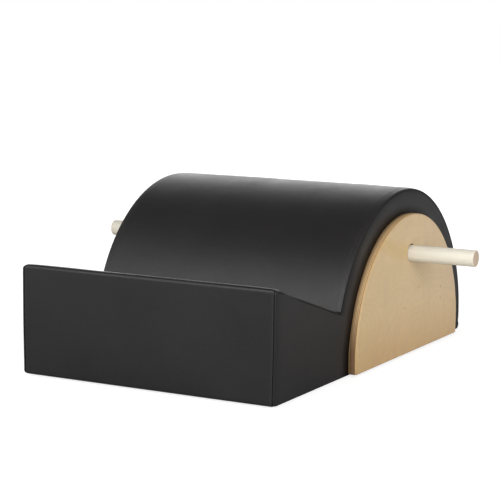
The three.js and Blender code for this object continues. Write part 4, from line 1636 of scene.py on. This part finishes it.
    def dress(self, finishes: Finishes, panels: "SidePanels") -> None:
        """Builds every cover and gives it its body and material, and hides the CAD nodes it stands for.

        Args:
            finishes: The materials.
            panels: The wooden panels, which the side pads go round.
        """
        size = self.sizes
        covers = [
            (self.build_barrel(), ("barrel_cover", "barrel_foam"), 0.95),
            (self.build_seat(), ("seat_cover", "seat_foam"), 0.9),
            (self.build_front(), ("front_cover",), 0.9),
            *((self.build_side(side, panels), (f"side_cover_{side.word}",), 0.85) for side in Side),
        ]
        for piece, nodes, fill in covers:
            settle(piece, Slot.VINYL, finishes.vinyl, *nodes)
        for side in Side:
            hem, flat = self.build_hem(side)
            settle(hem, Slot.VINYL, finishes.vinyl)
        over = Trace.arc(size.barrel_centre, size.barrel_radius, size.well_angle - 0.8, 1.0)
        settle(self.build_stitches("barrel_stitches", over), Slot.VINYL, finishes.thread)
        down = Trace.joined(size.shoulder_curve(), Trace.line(size.seat_start, size.well - size.seat_forward * 0.004))
        settle(self.build_stitches("seat_stitches", down), Slot.VINYL, finishes.thread)


@dataclass
class SidePanels:
    """Arched plywood panels: an arc a little longer than a half circle, a rounded-over face edge and a bore."""

    centre_y: float = 0.1112
    centre_z: float = 0.0312
    radius: float = 0.2278
    bottom: float = 0.0045
    inner_face: float = 0.2403
    thickness: float = 0.015
    round_over: float = 0.003
    ease: float = 0.0005
    corner: float = 0.0034
    bore: tuple[float, float] = (0.108985, 0.189)
    bore_radius: float = 0.016

    def outline(self) -> Trace:
        """Closed outline with outward directions; the two lower corners are slightly rounded.

        A corner's circle touches the floor line and the arc from inside, which gives the angle below the
        arc's centre at which they meet: its sine is the height between the two centres over the
        distance between them.

        Returns:
            The outline.
        """
        low = self.bottom + self.corner
        reach = self.radius - self.corner
        dip = math.asin((self.centre_z - low) / reach)
        front, rear = self.centre_y - reach * math.cos(dip), self.centre_y + reach * math.cos(dip)
        below = math.degrees(dip)
        parts = [
            Trace.arc((front, low), self.corner, 270.0, 180.0 + below),
            Trace.arc((self.centre_y, self.centre_z), self.radius, 180.0 + below, -below),
            Trace.arc((rear, low), self.corner, -below, -90.0),
            Trace.line((rear, self.bottom), (front, self.bottom)),
        ]
        return Trace.joined(*parts).resampled(finest=0.0004, coarsest=0.004, closed=True)

    def build(self, side: Side) -> bpy.types.Object:
        """Panel as rings that run from the bore over the face, round the edge and back behind.

        Args:
            side: Which side.

        Returns:
            The new object.
        """
        outline = self.outline()
        bore = np.array(self.bore)
        heading = unit(outline.points - bore)
        inner, outer = self.inner_face, self.inner_face + self.thickness
        rings = [(bore + heading * self.bore_radius, inner)]
        for out, drop in quarter_round(self.ease, 4):
            rings.append((bore + heading * (self.bore_radius + out), outer - drop))
        near = bore + heading * (self.bore_radius + self.ease)
        rim = self._inset(outline, self.round_over)
        rings += [(near + (rim - near) * share, outer) for share in (0.03, 0.2, 0.5, 0.8, 0.97)]
        for drop, inset in quarter_round(self.round_over, 9):
            rings.append((self._inset(outline, inset), outer - drop))
        rings.append((self._inset(outline, 0.0), inner + self.ease))
        rings.append((self._inset(outline, self.ease), inner))
        points = np.stack([
            np.concatenate([np.full((len(line), 1), side.value * out), line], -1) for line, out in rings
        ])
        return ring_body(f"arched_panel_{side.word}", points, crease=35.0)

    @staticmethod
    def _inset(outline: Trace, distance: float) -> np.ndarray:
        """The outline drawn in by a distance."""
        return outline.points - outline.outward * distance

    def dress(self, finishes: Finishes) -> None:
        """Builds both panels in lacquered plywood."""
        for side in Side:
            settle(self.build(side), Slot.PANEL, finishes.panel, f"side_panel_{side.word}")


@dataclass
class Pole:
    """Through pole with eased ends."""

    radius: float = 0.015
    length: float = 0.760
    ease: float = 0.0014
    y: float = 0.108985
    z: float = 0.1883

    def build(self) -> bpy.types.Object:
        """Pole turned about its own line; a quarter round joins its side to each flat end.

        Returns:
            The new object.
        """
        end = self.length / 2
        flat = np.stack([np.full(4, end), np.array([0.0, 0.4, 0.8, 0.995]) * (self.radius - self.ease)], -1)
        bend = [end, self.radius] - quarter_round(self.ease, 6)
        side = np.stack([np.linspace(end - 2 * self.ease, 0.0, 24), np.full(24, self.radius)], -1)
        half = np.concatenate([flat, bend, side])
        profile = np.concatenate([half, (half * [-1.0, 1.0])[-2::-1]])
        tip = np.concatenate([np.ones(5), np.linspace(0.8, 0.0, 5), np.zeros(24)])
        return revolved("pole", profile, Axis.X, (0.0, self.y, self.z), 72, tip=np.concatenate([tip, tip[-2::-1]]))

    def dress(self, finishes: Finishes) -> None:
        """Builds the pole, which rides on its own body."""
        settle(self.build(), Slot.POLE, finishes.pole, "handle_pole", body="pole")


@dataclass
class Underside:
    """Dust cloth with its staples, and the four rubber feet."""

    half_width: float = 0.2318
    front: float = -0.3812
    rear: float = 0.3775
    level: float = 0.00515
    over_hem: float = 0.0040
    cloth: float = 0.00025
    ripple: float = 0.00008
    hem_reach: float = 0.217
    end_hem: float = 0.021
    ramp: float = 0.008
    foot_x: float = 0.198
    foot_y: float = 0.334985
    foot_radius: float = 0.019
    foot_tip: float = 0.017
    foot_height: float = 0.005
    foot_bore: float = 0.006
    foot_hole: float = 0.002
    foot_web: float = 0.002
    foot_ease: float = 0.0008
    foot_groove: tuple[float, ...] = (0.0095, 0.0100, 0.0128, 0.0133)
    staple_inset: float = 0.007
    side_staples: int = 13
    end_staples: int = 8

    def cloth_level(self, x: np.ndarray, y: np.ndarray) -> np.ndarray:
        """Height of the cloth: level in the middle, lower where it lies over the covers' turned hems.

        Args:
            x: X of each point.
            y: Y of each point.

        Returns:
            Z of each point.
        """
        past_hem = (np.abs(x) - self.hem_reach, self.front + self.end_hem - y, y - self.rear + self.end_hem)
        side, front, rear = (smooth(distance / self.ramp) for distance in past_hem)
        edge = np.maximum(side, np.maximum(front, rear))
        ripple = self.ripple * waves(x, y, 0.02, 0.09, 71) * (1 - edge)
        return self.level + (self.over_hem - self.level) * edge + np.minimum(ripple, 0.0)

    def build_cloth(self) -> bpy.types.Object:
        """Cloth as a closed sheet over a grid of X and Y.

        Returns:
            The new object.
        """
        x, y = np.meshgrid(
            np.linspace(-self.half_width, self.half_width, 121),
            np.linspace(self.front, self.rear, 189),
        )
        low = np.stack([x, y, self.cloth_level(x, y)], -1)
        return shell("dust_sheet", low, low + [0.0, 0.0, self.cloth])

    def staple_places(self) -> tuple[np.ndarray, np.ndarray]:
        """Staples round the cloth's edge, with a little scatter.

        Returns:
            X and Y of each staple, and its heading in radians.
        """
        draw = np.random.default_rng(81)
        edge, count = self.staple_inset, 2 * (self.side_staples + self.end_staples)
        sides = np.linspace(self.front + 0.03, self.rear - 0.03, self.side_staples)
        ends = np.linspace(-self.half_width + 0.04, self.half_width - 0.04, self.end_staples)
        across = np.repeat([edge - self.half_width, self.half_width - edge], self.side_staples)
        along = np.repeat([self.front + edge, self.rear - edge], self.end_staples)
        places = np.stack([np.append(across, np.tile(ends, 2)), np.append(np.tile(sides, 2), along)], -1)
        turn = np.where(np.arange(count) < len(across), np.pi / 2, 0.0) + draw.normal(0.0, 0.09, count)
        return places + draw.normal(0.0, 0.0012, (count, 2)) * [0.5, 1.0], turn

    def build_staples(self) -> bpy.types.Object:
        """Staples as short flat wires whose ends turn into the cloth: a rectangle carried along five places.

        Returns:
            The new object.
        """
        places, turn = self.staple_places()
        run, drop = np.array([[-52, -47, 0, 47, 52], [6, 1, 0, 1, 6]])[..., None] * 0.0001
        wide, low = np.array([[-60, 60, 60, -60], [-45, -45, 0, 0]]) * 0.00001
        cos, sin = polar(turn).T[..., None, None]
        x, y = places.T[..., None, None]
        level = self.cloth_level(x, y) + drop + low
        grid = np.stack([x + run * cos - wide * sin, y + run * sin + wide * cos, level], -1)
        return tubes("dust_staples", grid, 25.0)

    def build_foot(self, side: Side, end: str) -> bpy.types.Object:
        """Foot turned about its screw: web, bore, grooved and rounded tread and tapered wall, as a closed profile.

        Args:
            side: Side of the body.
            end: front or rear.

        Returns:
            The new object.
        """
        bend = quarter_round(self.foot_ease, 5)
        outer_tread = bend[:, ::-1] * [1, -1] + [0.0, self.foot_tip]
        inner_tread = bend + [0.0, self.foot_bore]
        web = self.foot_height - self.foot_web
        profile = np.concatenate([
            [[web, self.foot_hole], [web, self.foot_bore * 0.6], [web, self.foot_bore]],
            inner_tread[::-1],
            np.stack([[0.0, 0.0004, 0.0004, 0.0], self.foot_groove], -1),
            outer_tread[::-1],
            [[self.foot_height * 0.5, self.foot_radius - 0.0003], [self.foot_height * 0.62, self.foot_radius]],
            [[self.foot_height, radius] for radius in (self.foot_radius, self.foot_hole)],
        ])
        y = self.foot_y if end == "rear" else -self.foot_y
        return revolved(f"rubber_foot_{side.word}_{end}", profile, Axis.Z, (side.value * self.foot_x, y, 0.0), 48)

    def dress(self, finishes: Finishes) -> None:
        """Builds the cloth, its staples and the feet.

        Args:
            finishes: The materials.
        """
        sheet = settle(self.build_cloth(), Slot.CLOTH, finishes.cloth, "dust_cover")
        staples = settle(self.build_staples(), Slot.STEEL, finishes.steel)
        for side in Side:
            for end in ("front", "rear"):
                foot = self.build_foot(side, end)
                settle(foot, Slot.FOOT, finishes.rubber, f"foot_{side.word}_{end}")


@dataclass
class Carcass:
    """CAD nodes inside the body, which keep their shape and get their materials."""

    level: tuple[str, ...] = ("base_board", "deck")
    upright: tuple[str, ...] = ("lip_board", "rail")

    def dress(self, finishes: Finishes) -> None:
        """Gives each CAD node the material of the first row whose words stand in its name.

        Args:
            finishes: The materials.
        """
        rows = (
            ("screw", finishes.steel),
            ("foam", finishes.foam),
            ("dust_cover", finishes.cloth),
            ("cover", finishes.vinyl),
            ("foot", finishes.rubber),
            ("side_panel", finishes.panel),
            ("handle_pole", finishes.pole),
            ("pole_tube", finishes.plastic),
            *((words, finishes.boards[Axis.Z]) for words in self.level),
            *((words, finishes.boards[Axis.Y]) for words in self.upright),
            ("", finishes.boards[Axis.X]),
        )
        for name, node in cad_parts.items():
            material = next(material for words, material in rows if words in name)
            node.data.materials.clear()
            node.data.materials.append(material)
            log.info("%s: CAD node in %s", name, material.name)


# ---- Studio ----


@dataclass(frozen=True)
class PhotoCamera:
    """Camera of the photograph, solved from the body's edges and arcs."""

    place: tuple[float, float, float] = (1.4542, -2.7190, 0.6367)
    lens: float = 123.34
    sensor: float = 36.0
    yaw: float = 0.495814154
    pitch: float = 0.144963663
    roll: float = 0.0118696988

    def build(self) -> None:
        """Camera whose axes follow yaw about Z, then pitch down, then roll about the view."""
        forward = Vector((
            -math.sin(self.yaw) * math.cos(self.pitch),
            math.cos(self.yaw) * math.cos(self.pitch),
            -math.sin(self.pitch),
        ))
        level = Vector((math.cos(self.yaw), math.sin(self.yaw), 0.0))
        upright = level.cross(forward)
        right = math.cos(self.roll) * level + math.sin(self.roll) * upright
        up = -math.sin(self.roll) * level + math.cos(self.roll) * upright
        data = bpy.data.cameras.new("photo_camera")
        data.lens, data.sensor_width = self.lens, self.sensor
        data.clip_start, data.clip_end = 0.05, 60.0
        camera = link("photo_camera", data)
        turn = Matrix((right, up, -forward)).transposed().to_4x4()
        camera.matrix_world = Matrix.Translation(self.place) @ turn
        bpy.context.scene.camera = camera


@dataclass(frozen=True)
class Lamp:
    """Soft rectangular lamp that points at a target."""

    name: str
    place: tuple[float, float, float]
    size: tuple[float, float]
    power: float
    target: tuple[float, float, float] = (0.0, 0.0, 0.12)

    def build(self) -> None:
        """Area lamp turned to its target."""
        data = bpy.data.lights.new(self.name, "AREA")
        data.shape = "RECTANGLE"
        data.size, data.size_y = self.size
        data.energy = self.power
        turn = (Vector(self.target) - Vector(self.place)).to_track_quat("-Z", "Y").to_matrix().to_4x4()
        link(self.name, data).matrix_world = Matrix.Translation(self.place) @ turn


def for_camera(make: NodeMaker, light: Wire, seen: Wire) -> Wire:
    """Shader that lights the object in one way and looks another way to the camera, also through glass."""
    rays = [make.get("LightPath", output=f"Is {kind} Ray") for kind in ("Camera", "Transmission")]
    return make.get("MixShader", {0: make.math("MAXIMUM", *rays), 1: light, 2: seen})


@dataclass
class Studio:
    """White floor, white surroundings and plain soft lamps.

    Attributes:
        lamps: The lamps.
        horizon: Strength of the world's light at the horizon.
        ambient: Its strength high up.
        shade: Share of it that is left on the right.
        floor_size: Half the width of the floor.
        floor_grey: Grey of the floor as it lights the object.
        floor_glow: Strength with which it glows for the camera, near and far.
        floor_sheen: Grey with which it shows in reflections, near and far.
    """

    lamps: tuple[Lamp, ...] = (
        Lamp("front_softbox", (-0.9, -4.2, 1.8), (3.0, 1.2), 42.0),
        Lamp("high_front_softbox", (-0.2, -3.2, 2.95), (2.4, 1.5), 39.0),
        Lamp("left_softbox", (-2.3, -3.4, 2.4), (2.4, 1.6), 28.0),
        Lamp("high_left_softbox", (-2.6, -1.9, 3.1), (1.6, 1.4), 7.5),
        Lamp("key_softbox", (3.3, -2.9, 1.4), (3.6, 2.8), 140.0),
        Lamp("low_left_softbox", (-4.5, -1.4, 1.2), (2.4, 1.6), 22.0),
        Lamp("right_softbox", (4.5, -0.4, 1.2), (3.6, 2.2), 44.0),
        Lamp("rear_softbox", (-2.2, 4.2, 1.45), (4.0, 2.9), 64.0),
    )
    horizon: float = 0.6
    ambient: float = 0.18
    shade: float = 0.95
    floor_size: float = 14.0
    floor_grey: float = 0.75
    floor_glow: tuple[float, float] = (0.78, 1.0)
    floor_sheen: tuple[float, float] = (0.36, 0.8)

    def build_world(self) -> None:
        """World that is white for the camera; as light it dims with height and towards the right."""
        world = bpy.data.worlds.new("studio")
        world.use_nodes = True
        bpy.context.scene.world = world
        world.node_tree.nodes.clear()
        make = NodeMaker(world.node_tree)
        right, _, up = make.axes(make.get("TexCoord", output="Generated"))
        fall = make.band(up, 0.0, 0.5) * (self.ambient - self.horizon) + self.horizon
        aside = 1.0 - make.band(right, 0.0, 0.8) * (1.0 - self.shade)
        light, white = (make.get("Background", {"Color": WHITE, "Strength": power}) for power in (fall * aside, 1.0))
        make.add("OutputWorld", {"Surface": for_camera(make, light, white)})

    def build_floor(self) -> None:
        """Large pale floor; for the camera part of it glows, so that it is white but keeps the shadow."""
        mesh = bpy.data.meshes.new("studio_floor")
        corners = np.array([[-1.0, -1.0, 0.0], [1.0, -1.0, 0.0], [1.0, 1.0, 0.0], [-1.0, 1.0, 0.0]]) * self.floor_size
        mesh.from_pydata(corners.tolist(), [], [(0, 1, 2, 3)])
        made = bpy.data.materials.new("Studio floor")
        made.use_nodes = True
        made.node_tree.nodes.clear()
        make = NodeMaker(made.node_tree)
        far = make.band(make.reach(*make.xyz[:2]), 0.4, 2.0)
        near_sheen, far_sheen = self.floor_sheen
        sheen = make.mix(far, tint(WHITE, near_sheen), tint(WHITE, far_sheen))
        grey = make.mix(make.get("LightPath", output="Is Glossy Ray"), tint(WHITE, self.floor_grey), sheen)
        near_glow, far_glow = self.floor_glow
        glow = make.get("Emission", {"Color": WHITE, "Strength": far * (far_glow - near_glow) + near_glow})
        seen = make.get("AddShader", {0: make.get("BsdfDiffuse", {"Color": tint(WHITE, 0.45)}), 1: glow})
        make.add("OutputMaterial", {"Surface": for_camera(make, make.get("BsdfDiffuse", {"Color": grey}), seen)})
        mesh.materials.append(made)
        link("studio_floor", mesh)

    def build(self) -> None:
        """Builds the surroundings and the lamps, and sets the plain view transform."""
        self.build_world()
        self.build_floor()
        for lamp in self.lamps:
            lamp.build()
        bpy.context.scene.view_settings.view_transform = "Standard"


def main() -> None:
    """Builds the camera, the studio and each sub-assembly."""
    logging.basicConfig(level=logging.INFO, format="%(name)s: %(message)s")
    PhotoCamera().build()
    Studio().build()
    finishes = Finishes()
    Carcass().dress(finishes)
    panels = SidePanels()
    Upholstery().dress(finishes, panels)
    panels.dress(finishes)
    Pole().dress(finishes)
    Underside().dress(finishes)


if __name__ == "__main__":
    main()
